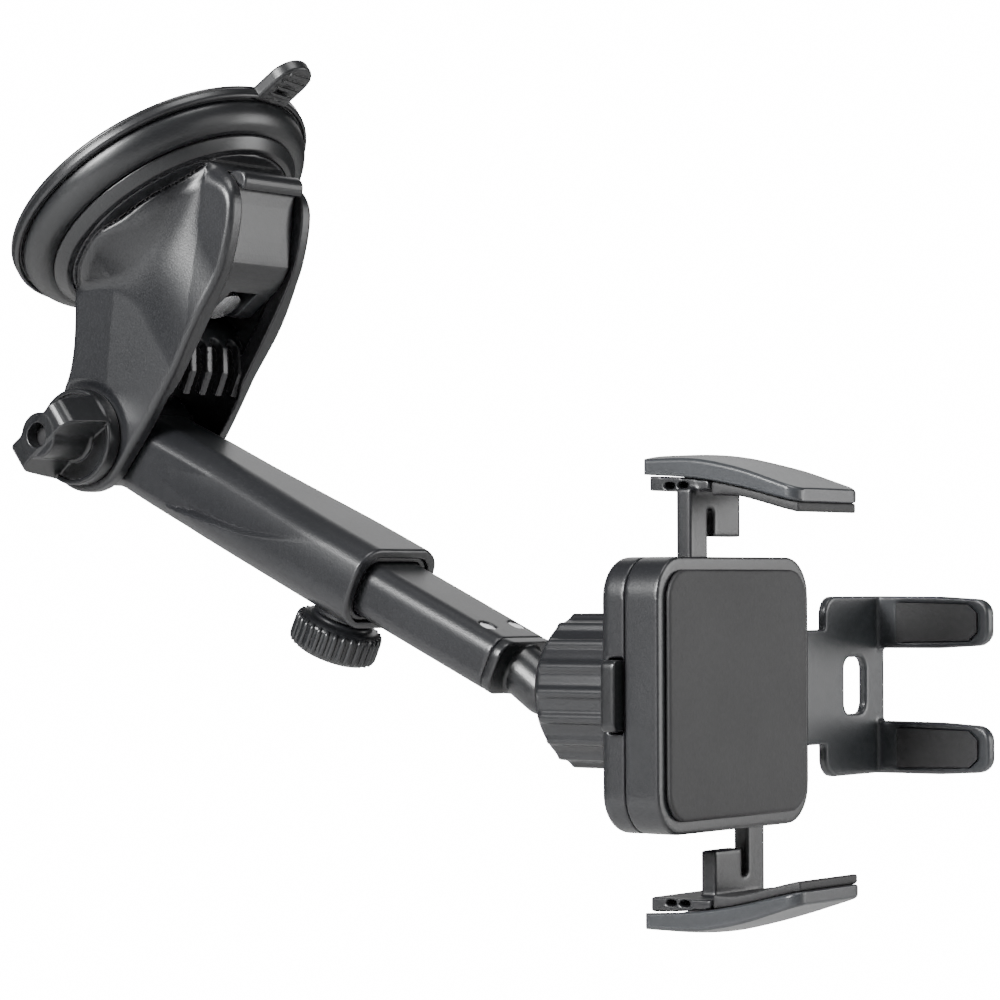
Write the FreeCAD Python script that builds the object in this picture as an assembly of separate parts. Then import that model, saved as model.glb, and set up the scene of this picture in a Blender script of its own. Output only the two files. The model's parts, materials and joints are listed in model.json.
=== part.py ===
"""Suction car phone mount: a windshield cup with a lever lock, a pivoting telescopic arm, a ball joint
and a cradle with two geared clamp arms and a pair of sliding feet.

Row frame: origin at the centre of the suction face, X along the arm's axle, Y towards the windshield,
Z up. Millimetres.
"""
import FreeCAD, Part
import math
import os

V = FreeCAD.Vector
X_AXIS = V(1, 0, 0)
Y_AXIS = V(0, 1, 0)
Z_AXIS = V(0, 0, 1)

# ---------------------------------------------------------------- driving dimensions
FIT = 0.05                  # radial clearance of a running fit
SLIDE_GAP = 0.1             # clearance of a sliding fit
GAP = 0.3                   # clearance between parts that pass each other

CUP_R = 36.2                # rim of the suction cup
RIM_T = 3.3                 # thickness of the rim bead
TAB_REACH = 10.3            # pull tab past the rim
SKIRT_R = CUP_R - 5.7       # top of the cup's skirt
SKIRT_H = 8.9               # skirt's top behind the suction face
GEL_R = CUP_R - 2.8         # sticky face pad
GEL_T = 1.25
GLASS_LEAN = 35.8           # the suction face leans this far from facing straight up

BASE_R = 26.5               # foot of the hard housing
BASE_H = 10.3               # foot of the housing behind the suction face
FLOOR_H = 16.0              # floor of the channel between the cheeks
GAP_X = 12.2                # half of the gap between the cheeks
CHEEK_X = GAP_X + 3.0       # outer face of each cheek
GRIP_X = GAP_X - 0.7        # half of the gap where the cheeks grip the arm's hub
PIVOT_V = 38.93             # pivot, off the cup's axis
PIVOT_H = 40.47             # pivot, behind the suction face
EYE_R = 12.2                # rounded end of each cheek

LEVER_W = 2 * (GAP_X - 2.2)
PIN_H = 30.0                # lever's cross pin behind the suction face when locked
CAM_R = 8.0                 # pin to cam pad when locked
CAM_LIFT = 2.0              # plunger travel as the lever opens
LEVER_OPEN = 95.0           # degrees
POST_R = 4.0
PIN_R = 1.5

BOLT_R = 3.0
HEAD_R = BOLT_R + 2.2       # corners of the bolt's hexagon head
INSERT_R = BOLT_R + 1.2     # threaded inserts
INSERT_L = 11.9             # knob's insert
BUSH_R = BOLT_R + 2.2       # plain bushes in the arm's hub
HUB_R = 10.6
WASHER_T = 0.8              # friction washers between hub and cheeks
HUB_X = GRIP_X - WASHER_T - SLIDE_GAP
FLANGE_R = 10.7             # knob's round flange
FLANGE_T = 3.7
WING_SPAN = 19.6
WING_W = 6.3
WING_H = 11.7
WING_ANGLE = 37.0

ARM_DIP = 25.0              # arm below the horizontal
TUBE_LEN = 81.2             # pivot to the outer tube's mouth
TUBE_W = 27.6               # outer tube at its mouth
TUBE_H = 18.7
TUBE_MID = 0.3              # outer tube's middle above the arm's axis
NECK_W = 2 * GRIP_X - 1.0   # outer tube between the cheeks
INNER_W = 20.0
INNER_H = 12.0
INNER_WALL = 2.0
INNER_MID = 0.2             # inner tube's middle above the arm's axis
INNER_BACK = 36.0           # rear end of the inner tube, from the pivot
INNER_OUT = 35.8            # inner tube past the outer tube's mouth
INNER_FRONT = TUBE_LEN + INNER_OUT
TUBE_TOP = INNER_MID + INNER_H / 2
BORE_BACK = 17.0
LINER_L = 5.4               # liner in the outer tube's mouth
SCREW_S = TUBE_LEN - 9.2    # thumb screw, from the pivot
SCREW_R = 9.8
SCREW_H = 9.2
SCREW_RIBS = 30
SHOE_TOP = INNER_MID - INNER_H / 2 - SLIDE_GAP
SHOE_LOW = SHOE_TOP - 1.1
STUD_TOP = SHOE_LOW - SLIDE_GAP
BOSS_LOW = TUBE_MID - TUBE_H / 2 - 1.05
SCREW_TOP = BOSS_LOW - GAP

NECK_RUN = 21.36            # inner tube's end to the ball's centre, level
NECK_DROP = 5.15
BALL_R = 8.5
LINER_R = BALL_R + 1.3      # outside of the ball's liner
COLLAR_R = BALL_R + 3.7     # split collar
STUB_R = BALL_R + 4.5       # threaded stub on the cradle
NUT_R = STUB_R + 3.0
BALL_BACK = 34.15           # ball's centre behind the phone

CRADLE_X = 28.0             # half width of the cradle
CRADLE_HALF = 27.0          # half height of the cradle
CRADLE_R = 8.0
CRADLE_D = 15.0             # cradle's depth behind the phone
WALL = 1.6
JAW = 38.8                  # half of the clamp opening
ARM_HALF = 12.3             # half width of a clamp arm
ARM_REACH = 20.7            # clamp arm ahead of the phone's back
CROWN = 1.0                 # rise of a clamp arm's cover along its middle
RACK_Y = (2.95, 6.35)       # depth of the racks and of the gear between them

GEAR_M = 1.0
GEAR_TEETH = 12
PRESSURE = 20.0             # degrees
BACKLASH = 0.12
AXLE_R = 1.4                # pinion's axle
PAWL_PIN = (-12.5, 8.5)

FOOT_X = 65.5               # inner face of the feet's pads
FOOT_Z = 13.35              # each foot above or below the cradle's middle
FOOT_T = 3.0
FOOT_REACH = 19.9
PAD_PROUD = 0.4             # feet's pads stand this far out of the feet


def leaning(angle, y, z):
    """Point of a YZ plane after a turn about X that leans +Y down by an angle in degrees."""
    c, s = math.cos(math.radians(angle)), math.sin(math.radians(angle))
    return V(0, y * c + z * s, -y * s + z * c)


PIVOT = leaning(GLASS_LEAN, PIVOT_V, -PIVOT_H)
TUBE_END = PIVOT + leaning(-ARM_DIP, -INNER_FRONT, 0)
BALL = TUBE_END - V(0, NECK_RUN, NECK_DROP)
CRADLE = BALL - V(0, BALL_BACK, 0)


# ---------------------------------------------------------------- helpers
def box(x, y, z):
    """Box from three (low, high) pairs."""
    return Part.makeBox(x[1] - x[0], y[1] - y[0], z[1] - z[0], V(x[0], y[0], z[0]))


def rod(radius, start, end):
    """Round bar between two points."""
    start = V(*start)
    axis = V(*end) - start
    return Part.makeCylinder(radius, axis.Length, start, axis)


def face_of(points):
    """Flat face from corner points in order."""
    return Part.Face(Part.makePolygon(points + [points[0]]))


def turned(profile, axis=Z_AXIS, centre=V(0, 0, 0)):
    """Solid of revolution. profile lists (radius, height along the axis)."""
    if axis == Z_AXIS:
        points = [V(r, 0, h) for r, h in profile]
    else:
        points = [V(r, h, 0) for r, h in profile]
    solid = face_of(points).revolve(V(0, 0, 0), axis, 360)
    solid.translate(centre)
    return solid


def slab(width, height, radius, y, x=0.0, z=0.0):
    """Rounded rectangle wire in an XZ plane."""
    hw, hh, r = width / 2, height / 2, radius
    k = r * (1 - math.sqrt(0.5))
    wire = []
    corners = [(1, 1), (-1, 1), (-1, -1), (1, -1)]
    stops = []
    for sx, sz in corners:
        side = V(x + sx * hw, y, z + sz * (hh - r))
        mid = V(x + sx * (hw - k), y, z + sz * (hh - k))
        end = V(x + sx * (hw - r), y, z + sz * hh)
        stops.append((side, mid, end) if sx * sz > 0 else (end, mid, side))
    for i, (a, b, c) in enumerate(stops):
        wire.append(Part.Arc(a, b, c).toShape())
        wire.append(Part.makeLine(c, stops[(i + 1) % 4][0]))
    return Part.Wire(wire)


def plate(width, height, radius, y0, y1, x=0.0, z=0.0):
    """Rounded plate lying in XZ, from y0 to y1."""
    return Part.Face(slab(width, height, radius, y0, x, z)).extrude(V(0, y1 - y0, 0))


def soften(shape, radius, pick):
    """Fillet the edges that pick() accepts, or leave the shape sharp where that fails."""
    edges = [e for e in shape.Edges if pick(e)]
    try:
        smooth = shape.makeFillet(radius, edges)
        return smooth if smooth.isValid() else shape
    except Exception:
        return shape


def seated(shape):
    """From the cup's own frame, with +Z into the glass, to the row frame."""
    shape = shape.copy()
    shape.rotate(V(0, 0, 0), X_AXIS, -GLASS_LEAN)
    return shape


def on_arm(shape):
    """From the arm's frame, with the pivot at the origin and the arm along -Y, to the row frame."""
    shape = shape.copy()
    shape.rotate(V(0, 0, 0), X_AXIS, ARM_DIP)
    shape.translate(PIVOT)
    return shape


def on_cradle(shape):
    """From the cradle's frame, with Y the depth behind the phone, to the row frame."""
    shape = shape.copy()
    shape.translate(CRADLE)
    return shape


def on_ball(shape):
    """From a frame at the ball's centre to the row frame."""
    shape = shape.copy()
    shape.translate(BALL)
    return shape


# ---------------------------------------------------------------- suction unit, in the cup's frame
def suction_cup():
    rim = [(0, -GEL_T), (GEL_R + 0.2, -GEL_T), (GEL_R + 0.2, 0), (CUP_R - 0.6, 0), (CUP_R, -0.7),
           (CUP_R, -RIM_T + 0.7), (CUP_R - 0.8, -RIM_T), (CUP_R - 2.0, -RIM_T), (SKIRT_R + 0.9, -SKIRT_H + 0.9),
           (SKIRT_R, -SKIRT_H), (26.8, -SKIRT_H), (26.4, -5.2), (25.6, -4.4), (14.6, -4.4), (13.4, -8.2),
           (0, -8.2)]
    cup = turned(rim)
    tab_w = 11.0
    tab_end = CUP_R + TAB_REACH - tab_w / 2
    tab = box((-tab_w / 2, tab_w / 2), (-tab_end, -CUP_R + 2.0), (-RIM_T, -0.3))
    tab = tab.fuse(rod(tab_w / 2, (0, -tab_end, -RIM_T), (0, -tab_end, -0.3)))
    for i in range(4):
        ridge_y = -tab_end + 2.6 - 2.1 * i
        tab = tab.fuse(box((-3.6, 3.6), (ridge_y - 0.5, ridge_y + 0.5), (-RIM_T - 0.6, -RIM_T + 0.2)))
    tab.rotate(V(0, 0, 0), Z_AXIS, 6.0)
    disc = rod(11.0 + FIT, (0, 0, -4.2), (0, 0, -5.8))
    post = rod(POST_R + FIT, (0, 0, -5.0), (0, 0, -9.0))
    return seated(cup.fuse(tab).cut(disc).cut(post).removeSplitter())


def gel_pad():
    return seated(rod(GEL_R, (0, 0, -GEL_T), (0, 0, 0)))


def cup_ring():
    ring = turned([(24.2, -SKIRT_H), (28.6, -SKIRT_H), (29.0, -SKIRT_H - 0.5), (28.4, -BASE_H), (24.2, -BASE_H)])
    for x, v in screw_places():
        ring = ring.cut(rod(1.3, (x, v, 0), (x, v, -20)))
    return seated(ring)


def screw_places():
    """Three screws that hold the cup's ring to the housing."""
    turn = 2 * math.pi / 3
    return [(25.4 * math.cos(turn * i + 0.5), 25.4 * math.sin(turn * i + 0.5)) for i in range(3)]


def ring_screws():
    screws = []
    for x, v in screw_places():
        head = rod(0.95, (x, v, -SKIRT_H - 0.1), (x, v, -BASE_H + 0.2))
        screws.append(seated(head.fuse(rod(0.7, (x, v, -BASE_H + 0.2), (x, v, -BASE_H - 1.4)))))
    return Part.makeCompound(screws)


def plunger():
    disc = rod(11.0, (0, 0, -5.8), (0, 0, -4.2))
    post = rod(POST_R, (0, 0, -PIN_H - 3.4), (0, 0, -5.0))
    post = post.cut(rod(PIN_R + 0.01, (-20, 0, -PIN_H), (20, 0, -PIN_H)))
    return seated(disc.fuse(post).removeSplitter())


def plunger_pin():
    return seated(rod(PIN_R, (-LEVER_W / 2 + 0.4, 0, -PIN_H), (LEVER_W / 2 - 0.4, 0, -PIN_H)))


def plunger_spring():
    return seated(turned([(5.0, -14.0), (5.0, -8.4), (7.4, -8.4), (7.4, -14.0)]))


def cam_plate():
    """Steel wear plate that the lever's cam slides on."""
    top = -PIN_H + CAM_R
    return seated(turned([(POST_R + 0.4, top), (7.6, top), (7.6, top + 0.8), (POST_R + 0.4, top + 0.8)]))


def cheek_outline():
    """Side face of the two cheeks, in the plane across the axle."""
    eye_top = V(0, PIVOT_V, -PIVOT_H + EYE_R)
    eye_side = V(0, PIVOT_V + EYE_R, -PIVOT_H)
    tangent = math.radians(110)
    eye_low = V(0, PIVOT_V + EYE_R * math.cos(tangent), -PIVOT_H - EYE_R * math.sin(tangent))
    front = Part.BSplineCurve()
    front.interpolate([V(0, 22.5, -BASE_H - 1.6), V(0, 24.4, -15.2), V(0, 29.7, -21.8), V(0, 34.6, -26.2), eye_top])
    back = Part.BSplineCurve()
    back.interpolate([eye_low, V(0, 23.0, -48.6), V(0, 6.0, -42.2), V(0, -10.0, -35.6), V(0, -17.5, -30.8),
                      V(0, -23.6, -24.6), V(0, -25.3, -19.0), V(0, -23.2, -BASE_H - 1.6)])
    foot = Part.makeLine(V(0, -23.2, -BASE_H - 1.6), V(0, 22.5, -BASE_H - 1.6))
    eye = Part.Arc(eye_top, eye_side, eye_low).toShape()
    return Part.Face(Part.Wire([front.toShape(), eye, back.toShape(), foot]))


def base_housing():
    side = cheek_outline()
    side.translate(V(-40, 0, 0))
    side = side.extrude(V(80, 0, 0))
    flare = turned([(0, -BASE_H), (BASE_R, -BASE_H), (BASE_R, -BASE_H - 1.7), (24.6, -13.0), (21.6, -14.8),
                    (19.0, -17.4), (17.0, -21.0), (15.6, -26.0), (CHEEK_X, -32.0), (0, -32.0)])
    foot = rod(BASE_R, (0, 0, -BASE_H - 1.7), (0, 0, -BASE_H))
    cheeks = box((-CHEEK_X, CHEEK_X), (-60, 60), (-60, -BASE_H))
    body = flare.fuse(cheeks).common(side).fuse(foot)
    low = -PIVOT_H - 20
    body = body.cut(box((-GAP_X, GAP_X), (-60, 60), (low, -FLOOR_H)))
    body = body.fuse(grip_pads().common(side)).fuse(web())
    boss_top = -PIN_H + CAM_R + 0.8
    body = body.fuse(rod(8.0, (0, 0, boss_top), (0, 0, -FLOOR_H + 0.5)))
    body = body.cut(turned([(0, -8), (21.0, -8), (21.0, -12.2), (8.4, -14.0), (0, -14.0)]))
    body = body.cut(rod(POST_R + FIT, (0, 0, -60), (0, 0, 0)))
    axle = rod(BOLT_R + FIT, (-30, PIVOT_V, -PIVOT_H), (30, PIVOT_V, -PIVOT_H))
    for x, v in screw_places():
        body = body.cut(rod(0.75, (x, v, -20), (x, v, -5)).common(rod(30, (0, 0, -11.75), (0, 0, -5))))
    return seated(body.cut(axle).removeSplitter())


def grip_pads():
    """The thicker lower part of each cheek, which grips the arm's hub."""
    pads = None
    for side in (-1, 1):
        x = sorted((side * GRIP_X, side * (GAP_X + 0.2)))
        pad = box(x, (-40, 60), (-60, -33.4))
        pads = pad if pads is None else pads.fuse(pad)
    return pads


def web():
    """Curved slotted wall that ties the cheeks together behind the hub."""
    outer = [V(-GAP_X, 7.9, -33.0), V(-GAP_X, 8.4, -38.0), V(-GAP_X, 11.6, -42.6), V(-GAP_X, 16.4, -45.4)]
    inner = [V(-GAP_X, 17.2, -43.4), V(-GAP_X, 12.9, -40.9), V(-GAP_X, 10.6, -37.4), V(-GAP_X, 10.3, -33.6)]
    curve_out, curve_in = Part.BSplineCurve(), Part.BSplineCurve()
    curve_out.interpolate(outer)
    curve_in.interpolate(inner)
    shelf = [V(-GAP_X, 14.4, -FLOOR_H + 0.4), V(-GAP_X, 12.0, -FLOOR_H + 0.4)]
    lines = Part.makePolygon([inner[-1]] + shelf + [outer[0]])
    joint = Part.makeLine(outer[-1], inner[0])
    wall = Part.Face(Part.Wire([curve_out.toShape(), joint, curve_in.toShape()] + lines.Edges))
    wall = wall.extrude(V(2 * GAP_X, 0, 0))
    for i in range(4):
        x = -8.1 + 5.4 * i
        slot = box((x - 1.7, x + 1.7), (0, 30), (-48, -37.2))
        slot = slot.fuse(rod(1.7, (x, 0, -37.2), (x, 30, -37.2)))
        wall = wall.cut(slot)
    return wall


def lever_cam(angle):
    """Point of the cam whose face meets the flat pad at this opening angle, from the pin."""
    a = math.radians(angle)
    drop = CAM_LIFT / math.radians(LEVER_OPEN)
    support = CAM_R - FIT - drop * a
    return V(0, support * math.sin(a) - drop * math.cos(a), support * math.cos(a) + drop * math.sin(a))


def lock_lever():
    pin = V(0, 0, -PIN_H)
    cam = [pin + lever_cam(LEVER_OPEN * i / 12) for i in range(13)]
    hub = [pin + V(0, 4.6 * math.cos(math.radians(t)), 4.6 * math.sin(math.radians(t))) for t in (-50, -90)]
    handle = [(-8.0, -4.4), (-12.6, -3.0), (-15.2, -0.8), (-24.0, 9.1), (-25.4, 8.1), (-27.2, 9.2), (-27.8, 11.0),
              (-26.8, 12.7), (-24.6, 13.6), (-22.4, 12.0), (-12.6, 1.2), (-10.0, 0.6), (-6.2, 3.0), (-5.0, 7.6),
              (-3.6, CAM_R - FIT)]
    handle = [pin + V(0, v, h) for v, h in handle]
    face = face_of(cam + hub + handle)
    face.translate(V(-LEVER_W / 2, 0, 0))
    lever = face.extrude(V(LEVER_W, 0, 0))
    fork = 2 * (POST_R + GAP)
    lever = lever.cut(box((-fork / 2, fork / 2), (-POST_R - 2.2, 12), (-PIN_H - 8, -PIN_H + 12)))
    return seated(lever.cut(rod(PIN_R + FIT, (-20, 0, -PIN_H), (20, 0, -PIN_H))))


# ---------------------------------------------------------------- pivot
def pivot_bolt():
    bolt = rod(BOLT_R, (GAP - CHEEK_X - INSERT_L, 0, 0), (CHEEK_X + 0.2, 0, 0))
    hexagon = [V(CHEEK_X + 0.1, HEAD_R * math.cos(math.radians(60 * i)), HEAD_R * math.sin(math.radians(60 * i)))
               for i in range(6)]
    head = face_of(hexagon).extrude(V(2.6, 0, 0))
    bolt = bolt.fuse(head).removeSplitter()
    bolt.translate(PIVOT)
    return bolt


def bolt_cover():
    """Round cap over the bolt's head, on the side away from the knob."""
    x = CHEEK_X
    cap = face_of([V(x, 0, 0), V(x, 9.4, 0), V(x + 2.8, 9.4, 0), V(x + 3.8, 8.2, 0), V(x + 3.8, 0, 0)])
    cap = cap.revolve(V(0, 0, 0), X_AXIS, 360)
    cap = cap.cut(rod(HEAD_R + 0.4, (x - 1, 0, 0), (x + 2.8, 0, 0)))
    cap.translate(PIVOT)
    return cap


def friction_washers():
    pair = []
    for side in (-1, 1):
        disc = rod(9.4, (side * (HUB_X + SLIDE_GAP), 0, 0), (side * GRIP_X, 0, 0))
        disc = disc.cut(rod(BOLT_R + 0.2, (-20, 0, 0), (20, 0, 0)))
        disc.translate(PIVOT)
        pair.append(disc)
    return Part.makeCompound(pair)


def pivot_knob():
    inner = -CHEEK_X - 0.2
    face = inner - FLANGE_T
    tip = face - WING_H
    flange = face_of([V(inner, 0, 0), V(inner, FLANGE_R, 0), V(face + 1.0, FLANGE_R, 0), V(face, FLANGE_R - 1.0, 0),
                      V(face, 0, 0)]).revolve(V(0, 0, 0), X_AXIS, 360)
    half = WING_SPAN / 2
    wing = face_of([V(face + 1, -half - 0.6, 0), V(face - 4.0, -half, 0), V(tip + 1.4, -half + 0.9, 0),
                    V(tip, -half + 2.4, 0), V(tip, half - 2.4, 0), V(tip + 1.4, half - 0.9, 0),
                    V(face - 4.0, half, 0), V(face + 1, half + 0.6, 0)])
    wing.translate(V(0, 0, -WING_W / 2))
    wing = wing.extrude(V(0, 0, WING_W))
    wing = soften(wing, 1.4, lambda e: abs(e.tangentAt(e.FirstParameter).z) < 0.1 and e.CenterOfMass.x < face)
    hub = rod(5.0, (face + 1, 0, 0), (tip + 0.8, 0, 0))
    knob = flange.fuse(wing).fuse(hub)
    knob = knob.cut(rod(INSERT_R, (inner + 1, 0, 0), (inner - INSERT_L, 0, 0)))
    knob = knob.cut(rod(BOLT_R - GAP, (0, 0, 0), (tip - 1, 0, 0)))
    knob.rotate(V(0, 0, 0), X_AXIS, -WING_ANGLE)
    knob.translate(PIVOT)
    return knob.removeSplitter()


def knob_insert():
    inner = -CHEEK_X - 0.2
    sleeve = rod(INSERT_R, (inner, 0, 0), (inner - INSERT_L, 0, 0)).cut(rod(BOLT_R + FIT, (0, 0, 0), (-60, 0, 0)))
    sleeve.translate(PIVOT)
    return sleeve


# ---------------------------------------------------------------- arm, in the arm's frame
def outer_tube():
    sections = [(9.0, 2 * HUB_X, TUBE_H - 1.1), (22.0, NECK_W, TUBE_H - 0.5), (34.0, TUBE_W - 2.2, TUBE_H - 0.3),
                (50.0, TUBE_W - 0.6, TUBE_H - 0.2), (TUBE_LEN, TUBE_W, TUBE_H)]
    wires = [slab(w, h, 5.4, -s, 0, TUBE_MID) for s, w, h in sections]
    tube = Part.makeLoft(wires, True, False)
    hub = rod(HUB_R, (-HUB_X, 0, 0), (HUB_X, 0, 0))
    boss = rod(6.6, (0, -SCREW_S, BOSS_LOW), (0, -SCREW_S, BOSS_LOW + 2.1))
    tube = tube.fuse(hub).fuse(boss)
    bore = plate(INNER_W + 1.0, INNER_H + 1.0, 4.4, -TUBE_LEN - 1, -BORE_BACK, 0, INNER_MID)
    seat = plate(INNER_W + 2.8, INNER_H + 2.8, 5.0, -TUBE_LEN - 1, -TUBE_LEN + LINER_L + 0.6, 0, INNER_MID)
    tube = tube.cut(bore).cut(seat).cut(rod(BUSH_R, (-20, 0, 0), (20, 0, 0)))
    tube = tube.cut(rod(INSERT_R, (0, -SCREW_S, BOSS_LOW - 2), (0, -SCREW_S, SHOE_TOP + 1)))
    return on_arm(tube.removeSplitter())


def tube_collar():
    """Liner in the outer tube's mouth that the inner tube runs in."""
    y0, y1 = -TUBE_LEN + 0.6, -TUBE_LEN + 0.6 + LINER_L
    ring = plate(INNER_W + 2.8, INNER_H + 2.8, 5.0, y0, y1, 0, INNER_MID)
    hole = plate(INNER_W + 2 * SLIDE_GAP, INNER_H + 2 * SLIDE_GAP, 4.0, y0 - 1, y1 + 1, 0, INNER_MID)
    screw_way = rod(INSERT_R + SLIDE_GAP, (0, -SCREW_S, BOSS_LOW - 2), (0, -SCREW_S, SHOE_TOP + 1))
    ring = ring.cut(hole).cut(screw_way)
    return on_arm(ring)


def hub_bushes():
    pair = []
    for side in (-1, 1):
        bush = rod(BUSH_R, (side * 4.0, 0, 0), (side * HUB_X, 0, 0))
        pair.append(on_arm(bush.cut(rod(BOLT_R + FIT, (-20, 0, 0), (20, 0, 0)))))
    return Part.makeCompound(pair)


def stud_insert():
    sleeve = rod(INSERT_R, (0, -SCREW_S, BOSS_LOW), (0, -SCREW_S, STUD_TOP))
    return on_arm(sleeve.cut(rod(BOLT_R + FIT, (0, -SCREW_S, -20), (0, -SCREW_S, 0))))


def pressure_shoe():
    """Small brass shoe that the screw presses on the inner tube."""
    return on_arm(rod(INSERT_R - GAP, (0, -SCREW_S, SHOE_LOW), (0, -SCREW_S, SHOE_TOP)))


def thumb_screw():
    top = SCREW_TOP
    low = top - SCREW_H + 0.8
    outline = [(0, top), (6.4, top), (6.8, top - 0.8), (SCREW_R - 1.6, top - 1.0), (SCREW_R - 0.6, top - 2.0),
               (SCREW_R - 0.6, low + 1.2), (SCREW_R - 1.8, low), (0, low)]
    head = turned(outline)
    ribs = None
    for i in range(SCREW_RIBS):
        a = 2 * math.pi * i / SCREW_RIBS
        x, y = (SCREW_R - 0.75) * math.cos(a), (SCREW_R - 0.75) * math.sin(a)
        rib = rod(0.75, (x, y, low + 1.2), (x, y, top - 1.9))
        ribs = rib if ribs is None else ribs.fuse(rib)
    head = head.fuse(ribs).cut(rod(BOLT_R, (0, 0, low + 3.0), (0, 0, 0)))
    head.translate(V(0, -SCREW_S, 0))
    return on_arm(head.removeSplitter())


def screw_stud():
    low = SCREW_TOP - SCREW_H + 3.8
    return on_arm(rod(BOLT_R, (0, -SCREW_S, low), (0, -SCREW_S, STUD_TOP)))


def inner_tube():
    tube = plate(INNER_W, INNER_H, 4.0, -INNER_FRONT, -INNER_BACK, 0, INNER_MID)
    hollow = plate(INNER_W - 2 * INNER_WALL, INNER_H - 2 * INNER_WALL, 2.4, -INNER_FRONT - 1, -INNER_BACK + 1, 0,
                   INNER_MID)
    tube = on_arm(tube.cut(hollow))
    for sink in stud_holes(1.8, TUBE_TOP - 1.7, TUBE_TOP + 1):
        tube = tube.cut(sink)
    for hole in stud_holes(0.95, 0, TUBE_TOP):
        tube = tube.cut(hole)
    return tube


def ball_stud():
    """Plug in the inner tube's end, an elbow, a level neck and the ball."""
    elbow = BALL + V(0, 13.4, 0)
    plug = plate(INNER_W - 2 * INNER_WALL, INNER_H - 2 * INNER_WALL, 2.4, -INNER_FRONT, -INNER_FRONT + 12, 0,
                 INNER_MID)
    cap = plate(INNER_W, INNER_H, 4.0, -INNER_FRONT - 2.4, -INNER_FRONT, 0, INNER_MID)
    plug = on_arm(plug.fuse(cap))
    start = on_arm(Part.Vertex(V(0, -INNER_FRONT - 1.2, INNER_MID))).Point
    stem = rod(5.4, start, elbow)
    neck = rod(3.5, elbow, BALL)
    knee = Part.makeSphere(5.4, elbow)
    ball = Part.makeSphere(BALL_R, BALL)
    stud = plug.fuse([stem, knee, neck, ball])
    for hole in stud_holes(0.95, INNER_MID, TUBE_TOP):
        stud = stud.cut(hole)
    return stud.removeSplitter()


def stud_holes(radius, low, high):
    """Two round bars down through the end of the inner tube, where its plug is screwed."""
    y = -INNER_FRONT + 6
    return [on_arm(rod(radius, (x, y, low), (x, y, high))) for x in (-5, 5)]


def stud_screws():
    """Screws that hold the plug, their heads sunk in the tube's top wall."""
    shanks = stud_holes(0.9, 0.4, TUBE_TOP - 1.6)
    heads = stud_holes(1.7, TUBE_TOP - 1.6, TUBE_TOP - 0.3)
    return Part.makeCompound([shank.fuse(head) for shank, head in zip(shanks, heads)])


# ---------------------------------------------------------------- ball joint, in the ball's frame
def liner_cup():
    shell = Part.makeSphere(LINER_R).cut(Part.makeSphere(BALL_R + SLIDE_GAP))
    limit = LINER_R * math.cos(math.radians(62))
    return on_ball(shell.common(box((-20, 20), (-20, -limit), (-20, 20))))


def split_collar():
    """Ring ahead of the ball's middle that the nut squeezes; split so that it can close."""
    ring = turned([(0, 0.1), (COLLAR_R, 0.1), (COLLAR_R, 2.0), (COLLAR_R - 2.3, 4.4), (0, 4.4)], Y_AXIS)
    ring = ring.cut(Part.makeSphere(BALL_R + SLIDE_GAP))
    ring = ring.cut(box((-0.6, 0.6), (-1, 6), (0, 20)))
    return on_ball(ring)


def ring_nut():
    low = CRADLE_D - BALL_BACK + 0.85
    bore = STUB_R + SLIDE_GAP
    outline = [(bore, low), (NUT_R - 1.6, low), (NUT_R - 1.0, low + 0.8), (NUT_R - 1.0, 5.0), (NUT_R - 2.6, 6.6),
               (BALL_R + 2.9, 6.6), (BALL_R + 0.5, 4.9), (COLLAR_R - 2.0, 4.7), (COLLAR_R + GAP, 2.3),
               (COLLAR_R + GAP, 0.1), (bore, 0.1)]
    nut = turned(outline, Y_AXIS)
    count = 18
    for i in range(count):
        a = 2 * math.pi * i / count
        x, z = (NUT_R - 1.2) * math.cos(a), (NUT_R - 1.2) * math.sin(a)
        nut = nut.fuse(rod(1.2, (x, low + 1.5, z), (x, 4.6, z)))
    return on_ball(nut.removeSplitter())


# ---------------------------------------------------------------- cradle, Y is the depth behind the phone
def face_pad():
    return on_cradle(plate(2 * CRADLE_X - 5, 2 * CRADLE_HALF - 5, 6.0, 0, 1.2))


def cradle_front():
    """Shallow tray, open to the back."""
    tray = plate(2 * CRADLE_X, 2 * CRADLE_HALF, CRADLE_R, 1.2, 9.0)
    room = plate(2 * (CRADLE_X - WALL), 2 * (CRADLE_HALF - WALL), CRADLE_R - WALL, 2.8, 10.0)
    tray = tray.cut(room)
    for side in (-1, 1):
        x = sorted((side * -13.9, side * 6.9))
        z = sorted((side * (CRADLE_HALF - 7), side * (CRADLE_HALF + 3)))
        tray = tray.cut(box(x, (RACK_Y[0] - 0.35, RACK_Y[1] + 0.35), z))
    tray = tray.cut(box((CRADLE_X - 8, CRADLE_X + 2), (6.5, 10), (-12.4, 12.4)))
    for x, z in cradle_screw_places():
        tray = tray.fuse(rod(2.4, (x, 2.0, z), (x, 8.9, z)))
    tray = tray.fuse(rod(1.9, (0, 1.8, 0), (0, 2.8, 0)))
    tray = tray.cut(rod(AXLE_R + FIT, (0, 2.0, 0), (0, 20, 0)))
    for x, z in cradle_screw_places():
        tray = tray.cut(rod(0.9, (x, 4.0, z), (x, 12, z)))
    return on_cradle(tray.removeSplitter())


def cradle_screw_places():
    return [(sx * (CRADLE_X - 5.4), sz * (CRADLE_HALF - 5.4)) for sx in (-1, 1) for sz in (-1, 1)]


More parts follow.
